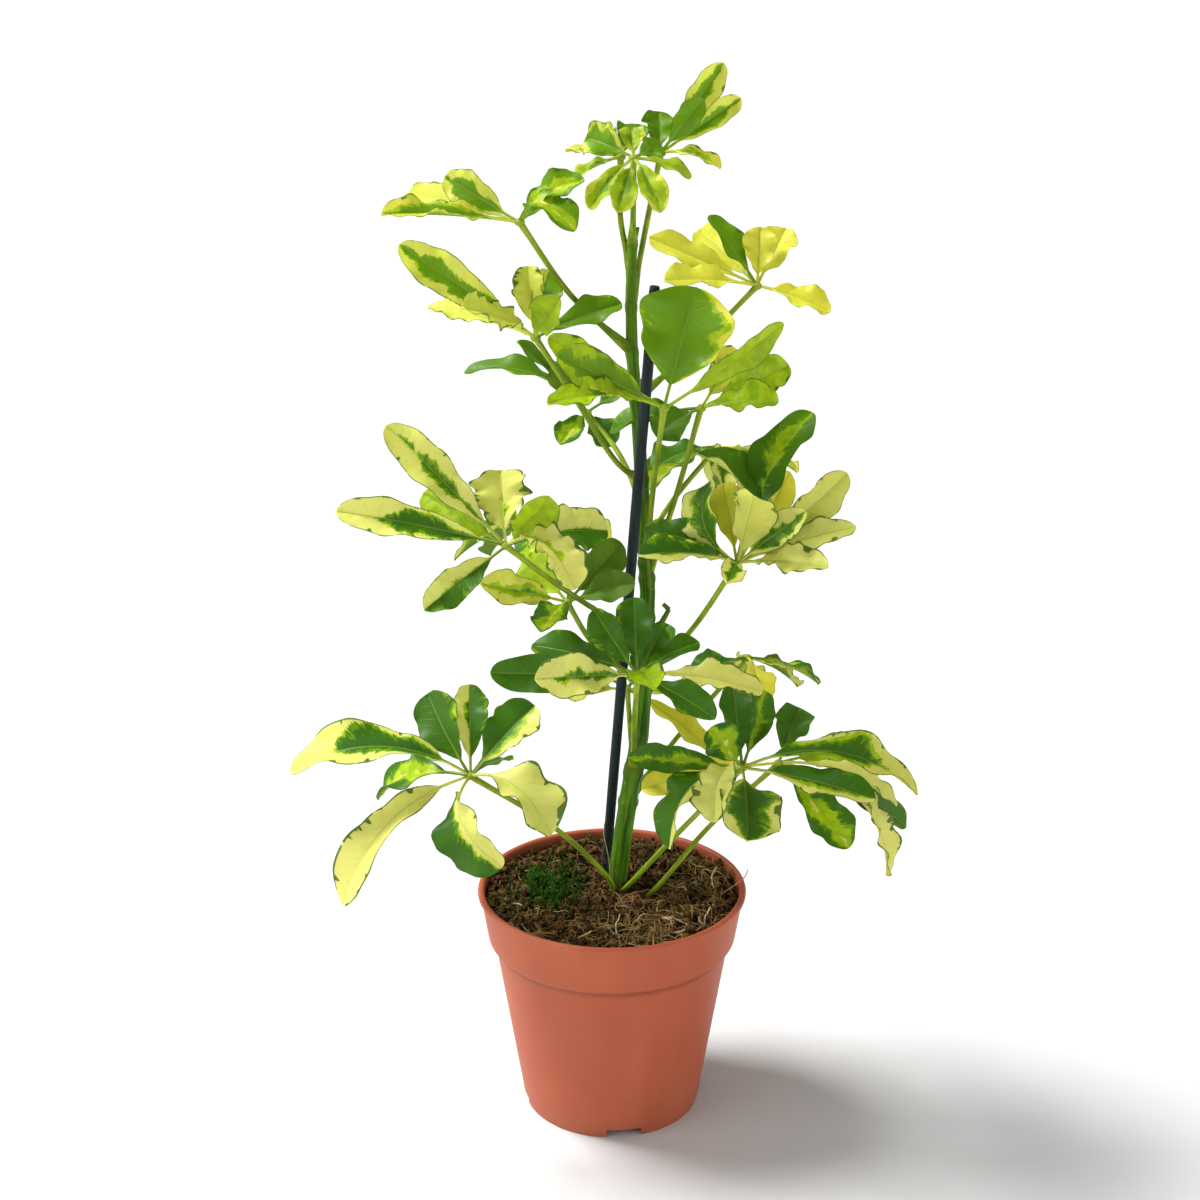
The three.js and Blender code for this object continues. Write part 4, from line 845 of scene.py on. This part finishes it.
class Finish:
    """A material under construction, with short names for the nodes that it uses."""

    def __init__(self, name):
        self.material = bpy.data.materials.new(name)
        self.material.use_nodes = True
        self.tree = self.material.node_tree
        self.tree.nodes.clear()

    def node(self, kind, inputs=(), **settings):
        """A new node of this kind, with its settings and its inputs."""
        made = self.tree.nodes.new("ShaderNode" + kind)
        for key, value in settings.items():
            setattr(made, key, value)
        for key, value in dict(inputs).items():
            self.put(made.inputs[key], value)
        return made

    def put(self, socket, value):
        """Joins another node's output to the socket, or sets the socket to a plain value."""
        if isinstance(value, bpy.types.NodeSocket):
            self.tree.links.new(value, socket)
        else:
            socket.default_value = value

    def math(self, operation, *values):
        """One operation on one or two numbers."""
        return self.node("Math", enumerate(values), operation=operation).outputs[0]

    def times(self, a, b):
        """a times b."""
        return self.math("MULTIPLY", a, b)

    def plus(self, a, b):
        """a and b together."""
        return self.math("ADD", a, b)

    def minus(self, a, b):
        """a less b."""
        return self.math("SUBTRACT", a, b)

    def step(self, value, start, end):
        """0 at start and 1 at end, with a smooth step between; start may be the larger one."""
        low, high = (0.0, 1.0) if start < end else (1.0, 0.0)
        limits = {0: value, 1: min(start, end), 2: max(start, end), 3: low, 4: high}
        return self.node("MapRange", limits, interpolation_type="SMOOTHSTEP").outputs[0]

    def mix(self, share, first, second):
        """The first colour where the share is 0, the second where it is 1."""
        made = self.node("Mix", data_type="RGBA", clamp_factor=True)
        for key, value in ((0, share), (6, first), (7, second)):
            self.put(made.inputs[key], value)
        return made.outputs[2]

    def stain(self, colour, share, strength, other):
        """A colour with another one laid over it, as much as the share times the strength."""
        return self.mix(self.times(share, strength), colour, other)

    def mark(self, name):
        """A named mark of the mesh, split into its three numbers."""
        split = self.node("SeparateXYZ", {0: self.node("Attribute", attribute_name=name).outputs["Vector"]})
        return split.outputs[0], split.outputs[1], split.outputs[2]

    def at(self, x, y, z):
        """A place made of three numbers."""
        return self.node("CombineXYZ", {0: x, 1: y, 2: z}).outputs[0]

    def place(self, scale=(1, 1, 1)):
        """The place on the object in metres, stretched by the scale."""
        here = self.node("TexCoord").outputs["Object"]
        return self.node("Mapping", {"Vector": here, "Scale": scale}).outputs[0]

    def height(self):
        """The height on the object in metres."""
        return self.node("SeparateXYZ", {0: self.place()}).outputs[2]

    def noise(self, vector, scale, detail=3.0, roughness=0.5, distortion=0.0):
        """Cloudy noise from 0 to 1 at a place, with the scale's number of clouds to a unit."""
        inputs = {"Vector": vector, "Scale": scale, "Detail": detail, "Roughness": roughness,
                  "Distortion": distortion}
        return self.node("TexNoise", inputs).outputs["Fac"]

    def cells(self, vector, scale):
        """The distance to the nearest of scattered points, with the scale's number of points to a unit."""
        return self.node("TexVoronoi", {"Vector": vector, "Scale": scale}).outputs["Distance"]

    def bump(self, height, strength, distance):
        """The surface's direction as if the height lay on it, up to the distance in metres."""
        return self.node("Bump", {"Height": height, "Strength": strength, "Distance": distance}).outputs[0]

    def surface(self, colour, roughness, normal=None, light_through=None, **sockets):
        """The shader; light_through is (share, colour) of what shines through a thin piece."""
        shader = self.node("BsdfPrincipled", {"Base Color": colour, "Roughness": roughness})
        for key, value in sockets.items():
            shader.inputs[key.replace("_", " ")].default_value = value
        if normal is not None:
            self.put(shader.inputs["Normal"], normal)
        result = shader.outputs[0]
        if light_through:
            share, glow = light_through
            through = self.node("BsdfTranslucent", {"Color": glow, "Normal": normal})
            result = self.node("MixShader", {0: share, 1: result, 2: through.outputs[0]}).outputs[0]
        self.node("OutputMaterial", {"Surface": result})
        return self.material


DARK_GREEN, DEEP_GREEN, YOUNG_GREEN = tint(62, 118, 6), tint(60, 116, 34), tint(120, 168, 4)
MID_GREEN, LIME, DEEP_LIME = tint(122, 172, 20), tint(196, 220, 22), tint(164, 196, 26)
CREAM, GOLD, YOUNG_CREAM = tint(242, 238, 142), tint(248, 236, 64), tint(230, 234, 72)
# The two edge greens are the colour of the painted shadow along the edges of pale margins.
EDGE_SHADOW_GREEN, YOUNG_EDGE_SHADOW_GREEN, PALE_RIB = tint(56, 106, 16), tint(70, 116, 8), tint(176, 200, 90)
PALE_VEIN, OLIVE, WARM_GREEN = tint(170, 196, 90), tint(156, 172, 62), tint(120, 150, 20)
SCORCH, LIGHT_THROUGH = tint(120, 84, 30), tint(210, 228, 30)


def make_blade_finish():
    """Variegated leaf: green middle, lime band, cream or golden margin, with borders along the side veins.

    The pattern's borders are the mark blade_zone, made jagged by noise drawn out along the side veins. Leaves
    high on the plant are younger, so they are a lighter, yellower green.
    """
    f = Finish("variegated_leaf")
    across, along, seed = f.mark("blade_place")
    zone, band, share = f.mark("blade_zone")
    gold, below, far = f.mark("blade_tone")
    rim, chance, other_chance = f.mark("blade_rim")
    wide = f.math("ABSOLUTE", across)
    side = f.times(f.math("SIGN", across), 3.0)
    slant = f.minus(along, f.times(wide, 0.75))
    own = f.plus(f.times(seed, 13.0), side)
    flat = f.at(across, along, seed)
    own_flat = f.at(across, along, own)
    fingers = f.at(f.times(slant, 0.85), f.times(wide, 0.26), own)
    patches = f.at(f.times(slant, 0.22), f.times(wide, 0.14), own)
    jag = f.minus(f.noise(fingers, 1.0, 4.0, 0.66), 0.5)
    patch = f.minus(f.noise(patches, 1.0, 2.0, 0.5), 0.5)
    stray = f.minus(f.noise(fingers, 0.8, 2.0, 0.6, 0.3), 0.5)
    border = f.plus(zone, f.plus(f.times(jag, 0.5), f.times(patch, 0.8)))
    outer = f.plus(zone, f.plus(f.times(stray, 0.6), f.times(patch, 0.35)))
    green = f.step(border, 0.012, -0.012)
    inner = f.step(f.plus(border, f.times(stray, 1.3)), -0.17, -0.13)
    margin = f.step(f.minus(outer, band), -0.015, 0.015)

    young = f.step(f.height(), 0.29, 0.36)
    cloud = f.noise(flat, 0.09, 2.0)
    dark = f.mix(f.step(f.plus(cloud, f.times(chance, 0.3)), 0.5, 0.85), DARK_GREEN, DEEP_GREEN)
    dark = f.stain(dark, young, 0.85, YOUNG_GREEN)
    leafy = f.stain(dark, inner, 0.85, MID_GREEN)
    pale = f.mix(gold, f.stain(CREAM, young, 0.6, YOUNG_CREAM), GOLD)
    blotch = f.noise(own_flat, 0.22, 3.0)
    pale = f.stain(pale, f.step(blotch, 0.52, 0.72), 0.25, LIME)
    lime = f.mix(f.step(blotch, 0.35, 0.65), LIME, DEEP_LIME)
    colour = f.mix(green, f.mix(margin, lime, pale), leafy)
    # Painted edge shadow: a thin dark green line along the edge of the pale margin, wider in places and gone
    # in others.
    ragged = f.noise(f.at(f.times(along, 0.2), side, own), 1.0, 3.0)
    wider = f.plus(f.step(ragged, 0.34, 0.44), f.times(f.step(ragged, 0.56, 0.66), 3.4))
    start = f.minus(1.0, f.times(f.times(rim, wider), 0.05))
    edge_shadow = f.step(f.minus(f.plus(share, f.times(jag, 0.03)), start), -0.008, 0.008)
    edge_shadow = f.times(edge_shadow, f.step(wide, 1.5, 3.0))
    colour = f.stain(colour, edge_shadow, 0.9, f.mix(young, EDGE_SHADOW_GREEN, YOUNG_EDGE_SHADOW_GREEN))

    # The midrib is pale and narrows to the tip; the side veins run out from it.
    rib_width = f.plus(0.16, f.times(f.minus(1.0, far), 0.3))
    rib = f.step(f.minus(wide, rib_width), 0.12, -0.12)
    wander = f.times(f.noise(own_flat, 0.12, 1.0), 3.5)
    beat = f.math("FRACT", f.plus(f.math("DIVIDE", f.plus(slant, wander), 4.4), seed))
    vein = f.step(f.math("ABSOLUTE", f.minus(beat, 0.5)), 0.07, 0.0)
    vein = f.times(vein, f.step(share, 1.0, 0.35))
    colour = f.stain(colour, rib, 0.42, PALE_RIB)
    colour = f.stain(colour, vein, 0.12, PALE_VEIN)
    # Rare brown specks.
    colour = f.stain(colour, f.step(f.cells(flat, 0.11), 0.03, 0.015), 0.75, SCORCH)
    # The lower face is duller and more olive, and each blade has a tone of its own.
    colour = f.stain(colour, below, 0.26, OLIVE)
    colour = f.stain(colour, other_chance, 0.12, WARM_GREEN)

    grain = f.noise(flat, 1.6, 3.0)
    mottle = f.noise(flat, 0.25, 2.0)
    roughness = f.plus(0.37, f.plus(f.times(mottle, 0.12), f.times(below, 0.2)))
    sunk = f.plus(f.times(vein, -0.5), f.times(grain, 0.14))
    normal = f.bump(f.plus(sunk, f.times(cloud, 1.2)), 0.4, 0.0004)
    glow = f.mix(0.35, colour, LIGHT_THROUGH)
    return f.surface(colour, roughness, normal, (0.4, glow), IOR=1.45, Specular_IOR_Level=0.3)


def make_stalk_finish():
    """Leaf stalk: olive green, browner and mottled at its foot, paler to the hub, with a grain along it."""
    dark, light, pale = tint(92, 122, 14), tint(142, 160, 28), tint(164, 182, 58)
    brown, foot = tint(110, 96, 44), tint(70, 98, 18)
    f = Finish("leaf_stalk")
    turn, far, seed = f.mark("stalk_place")
    streak = f.noise(f.at(f.times(turn, 5.0), f.times(far, 7.0), seed), 1.0, 3.0)
    mottle = f.noise(f.place(), 260.0, 3.0)
    colour = f.mix(f.step(streak, 0.35, 0.7), dark, light)
    colour = f.stain(colour, f.step(far, 0.55, 1.0), 0.5, pale)
    colour = f.stain(colour, f.step(mottle, 0.58, 0.72), 0.35, brown)
    colour = f.stain(colour, f.step(far, 0.12, 0.0), 0.6, foot)
    normal = f.bump(f.plus(streak, f.times(mottle, 0.5)), 0.35, 0.0003)
    return f.surface(colour, f.plus(0.42, f.times(mottle, 0.15)), normal, Specular_IOR_Level=0.15)


def make_stem_finish():
    """Stem: green, olive and streaked, with brown ring scars over the nodes, pale pores and a corky foot."""
    deep, bright, young, olive = tint(36, 76, 6), tint(92, 134, 16), tint(104, 136, 22), tint(62, 78, 24)
    pores, scars, corky = tint(168, 160, 96), tint(96, 78, 40), tint(104, 92, 48)
    f = Finish("green_stem")
    turn, height, scar = f.mark("stalk_place")
    streak = f.noise(f.at(f.times(turn, 2.2), f.times(height, 0.035), 3.0), 1.0, 4.0)
    mottle = f.noise(f.place((1, 1, 0.4)), 330.0, 4.0)
    colour = f.mix(f.step(streak, 0.32, 0.68), deep, bright)
    colour = f.stain(colour, f.step(height, 300.0, 380.0), 0.4, young)
    colour = f.stain(colour, f.step(mottle, 0.56, 0.7), 0.4, olive)
    pore = f.step(f.cells(f.at(f.times(turn, 1.1), f.times(height, 0.22), 0.0), 1.0), 0.14, 0.07)
    colour = f.stain(colour, pore, 0.5, pores)
    colour = f.stain(colour, f.times(scar, f.step(mottle, 0.3, 0.55)), 0.75, scars)
    cork = f.times(f.step(height, 118.0, 99.0), f.step(mottle, 0.3, 0.6))
    colour = f.stain(colour, cork, 0.6, corky)
    rough = f.plus(f.times(mottle, 0.7), f.plus(streak, f.times(pore, 0.6)))
    roughness = f.plus(0.4, f.times(mottle, 0.2))
    return f.surface(colour, roughness, f.bump(rough, 0.3, 0.0004), Specular_IOR_Level=0.12)


def make_stake_finish():
    """Stake: dark blue-green coated stick with a grain along it, dull streaks, and soil dust at its foot."""
    dark, light, worn, soil_dust = tint(8, 24, 26), tint(20, 42, 42), tint(36, 56, 52), tint(98, 78, 52)
    f = Finish("coated_stake")
    grain = f.noise(f.place((1, 1, 0.03)), 1500.0, 4.0, 0.6)
    dull = f.noise(f.place((1, 1, 0.12)), 240.0, 3.0)
    colour = f.mix(f.step(grain, 0.35, 0.7), dark, light)
    colour = f.stain(colour, f.step(dull, 0.52, 0.7), 0.4, worn)
    dust = f.times(f.step(f.height(), 0.135, 0.1), f.step(f.noise(f.place(), 700.0, 4.0), 0.45, 0.6))
    colour = f.stain(colour, dust, 0.6, soil_dust)
    roughness = f.plus(0.42, f.times(dull, 0.25))
    return f.surface(colour, roughness, f.bump(grain, 0.5, 0.0005), Specular_IOR_Level=0.25)


def make_soil_finish():
    """Peat and coir: near black to warm brown crumbs, with tan flecks, and olive where moss has started."""
    peat, coir, olive, rusty = tint(26, 17, 10), tint(106, 75, 38), tint(96, 86, 30), tint(134, 84, 48)
    tan, crevice_shade = tint(150, 120, 78), tint(16, 11, 7)
    f = Finish("peat_and_coir")
    spot = f.place()
    large, fine = f.noise(spot, 60.0, 4.0), f.noise(spot, 1500.0, 3.0)
    small = f.noise(spot, 330.0, 4.0, 0.65)
    colour = f.mix(f.step(small, 0.38, 0.64), peat, coir)
    colour = f.stain(colour, f.step(large, 0.5, 0.6), 0.6, olive)
    rust = f.noise(f.place((1, 1, 0.5)), 95.0, 3.0)
    colour = f.stain(colour, f.step(rust, 0.54, 0.66), 0.5, rusty)
    colour = f.stain(colour, f.step(fine, 0.62, 0.72), 0.5, tan)
    # Painted shade in the gaps between the crumbs: near black where the cells meet, where the bump is lowest.
    crumb = f.cells(spot, 520.0)
    colour = f.stain(colour, f.step(crumb, 0.4, 0.8), 0.75, crevice_shade)
    # Painted shade: the hollows between the clumps are darkened, the lower the darker.
    colour = f.stain(colour, f.step(f.height(), 0.1030, 0.1002), 0.85, crevice_shade)
    height = f.plus(f.times(small, 1.2), f.minus(f.times(fine, 0.5), crumb))
    return f.surface(colour, 0.92, f.bump(height, 1.0, 0.0012), Specular_IOR_Level=0.1)


def make_fibre_finish():
    """Coir and dry roots: red-brown to straw and bone white, by each fibre's own mark, darker in places."""
    red_brown, straw, bone, damp = tint(80, 54, 28), tint(150, 114, 62), tint(206, 184, 138), tint(88, 72, 38)
    f = Finish("dry_fibre")
    tone = f.mark("stalk_place")[0]
    patch = f.noise(f.place(), 420.0, 3.0)
    colour = f.mix(f.step(tone, 0.1, 0.6), red_brown, straw)
    colour = f.mix(f.step(tone, 0.6, 0.97), colour, bone)
    colour = f.stain(colour, f.step(patch, 0.5, 0.7), 0.5, damp)
    return f.surface(colour, 0.7, f.bump(patch, 0.4, 0.0002), Specular_IOR_Level=0.3)


def make_moss_finish():
    """Moss: deep green, lighter and yellower at the tips, each blade a little different."""
    deep, green, tips, brown = tint(3, 17, 6), tint(26, 66, 10), tint(96, 152, 34), tint(30, 40, 14)
    f = Finish("moss")
    tone, far, _ = f.mark("stalk_place")
    colour = f.mix(tone, deep, green)
    colour = f.stain(colour, f.step(far, 0.4, 1.0), 0.35, tips)
    colour = f.stain(colour, f.noise(f.place(), 500.0, 2.0), 0.4, brown)
    normal = f.bump(f.noise(f.place(), 2600.0, 2.0), 0.3, 0.0001)
    return f.surface(colour, 0.7, normal, Specular_IOR_Level=0.08)


def make_pot_finish():
    """Moulded terracotta plastic: a satin skin with faint flow streaks, dark specks, pale scuffs and dust."""
    clay, light, streaks, specks = tint(168, 82, 51), tint(176, 90, 58), tint(160, 71, 41), tint(104, 56, 38)
    scuffs, shade, dusty = tint(222, 160, 132), tint(112, 50, 30), tint(150, 92, 68)
    f = Finish("terracotta_plastic")
    spot, height = f.place(), f.height()
    flow = f.noise(f.place((1, 1, 0.1)), 70.0, 3.0)
    cloud = f.noise(spot, 18.0, 2.0)
    colour = f.mix(f.step(cloud, 0.35, 0.7), clay, light)
    colour = f.stain(colour, f.step(flow, 0.4, 0.75), 0.35, streaks)
    colour = f.stain(colour, f.step(f.cells(spot, 95.0), 0.055, 0.03), 0.55, specks)
    scratch = f.noise(f.place((1, 1, 7)), 42.0, 5.0, 0.7)
    scuff = f.times(f.step(scratch, 0.66, 0.74), f.step(f.noise(spot, 25.0, 2.0), 0.5, 0.62))
    colour = f.stain(colour, scuff, 0.35, scuffs)
    # The step under the collar lies in its shade, and the foot is dusty.
    ledge = f.times(f.step(height, 0.0762, 0.0792), f.step(height, 0.0816, 0.0798))
    colour = f.stain(colour, ledge, 0.55, shade)
    dust = f.times(f.step(height, 0.014, 0.0), f.noise(spot, 300.0, 4.0))
    colour = f.stain(colour, dust, 0.5, dusty)
    skin = f.plus(f.times(f.noise(spot, 2400.0, 3.0), 0.4), f.plus(flow, f.times(scuff, -0.6)))
    roughness = f.plus(0.46, f.plus(f.times(cloud, 0.1), f.times(scuff, 0.15)))
    return f.surface(colour, roughness, f.bump(skin, 0.25, 0.0003), Specular_IOR_Level=0.3)


def make_floor_finish():
    """Floor: matte off-white with the faintest cloudiness."""
    f = Finish("studio_floor")
    colour = f.mix(f.noise(f.place(), 2.0, 2.0), (0.70, 0.70, 0.70, 1), (0.71, 0.71, 0.71, 1))
    return f.surface(colour, 0.7, Specular_IOR_Level=0.1)


blade_finish, stalk_finish, stem_finish = make_blade_finish(), make_stalk_finish(), make_stem_finish()
stake_finish, soil_finish, fibre_finish = make_stake_finish(), make_soil_finish(), make_fibre_finish()
moss_finish, pot_finish, floor_finish = make_moss_finish(), make_pot_finish(), make_floor_finish()

# ---------------------------------------------------------------- camera, lights and floor

# Places in metres, and strengths in watts for the panels.
LENS_MM, SENSOR_MM, NEAREST, FARTHEST = 59.37, 36, 0.01, 100
CAMERA_PLACE, CAMERA_TILT_DEG = (-0.0053, -0.800, 0.509), 71.39
SUN_PLACE, SUN_STRENGTH, SUN_WIDTH_DEG = (-0.66, 0.22, 1.2), 4.8, 24
PANELS = [("left_panel", (-1.3, -0.7, 0.45), 1.0, 9.0), ("right_panel", (1.3, -0.7, 0.25), 0.9, 9.0)]
LAMPS_AIM, FLOOR_REACH = (0, 0, 0.2), 30.0
# The sky: up to the first height it has the third number's strength, above the second height the fourth's.
SKY, SKY_COLOUR = (0.09, 0.17, 1.06, 0.30), (0.97, 0.99, 1, 1)


def make_studio():
    """The camera at the photograph's angle, a pale floor, a soft sun from the left, two panels and a sky."""
    scene = bpy.context.scene
    lens = bpy.data.cameras.new("camera")
    lens.lens, lens.sensor_width, lens.clip_start, lens.clip_end = LENS_MM, SENSOR_MM, NEAREST, FARTHEST
    camera = bpy.data.objects.new("camera", lens)
    camera.location = CAMERA_PLACE
    camera.rotation_euler = (np.radians(CAMERA_TILT_DEG), 0, 0)
    scene.collection.objects.link(camera)
    scene.camera = camera

    mesh = bpy.data.meshes.new("floor")
    corners = [(x * FLOOR_REACH, y * FLOOR_REACH, 0) for x, y in ((-1, -1), (1, -1), (1, 1), (-1, 1))]
    mesh.from_pydata(corners, [], [(0, 1, 2, 3)])
    mesh.materials.append(floor_finish)
    floor = bpy.data.objects.new("floor", mesh)
    scene.collection.objects.link(floor)

    sun = bpy.data.lights.new("window", "SUN")
    sun.energy, sun.angle = SUN_STRENGTH, np.radians(SUN_WIDTH_DEG)
    lamps = [(sun, SUN_PLACE)]
    for name, spot, size, power in PANELS:
        light = bpy.data.lights.new(name, "AREA")
        light.size, light.energy = size, power
        lamps.append((light, spot))
    for light, spot in lamps:
        lamp = bpy.data.objects.new(light.name, light)
        lamp.location = spot
        lamp.rotation_euler = (Vector(LAMPS_AIM) - Vector(spot)).to_track_quat("-Z", "Y").to_euler()
        scene.collection.objects.link(lamp)
    # The sky is weak overhead and bright near the horizon, as in a white studio.
    world = bpy.data.worlds.new("sky")
    world.use_nodes = True
    nodes, links = world.node_tree.nodes, world.node_tree.links
    kinds = ("TexCoord", "SeparateXYZ", "MapRange")
    direction, split, strength = (nodes.new("ShaderNode" + kind) for kind in kinds)
    links.new(direction.outputs["Generated"], split.inputs[0])
    links.new(split.outputs[2], strength.inputs[0])
    for key, value in enumerate(SKY, 1):
        strength.inputs[key].default_value = value
    links.new(strength.outputs[0], nodes["Background"].inputs[1])
    nodes["Background"].inputs[0].default_value = SKY_COLOUR
    scene.world = world
    scene.view_settings.view_transform = "Standard"


make_studio()
make_pot()
make_soil()
make_fibres()
make_moss()
make_stake()
make_stem()
make_leaves()
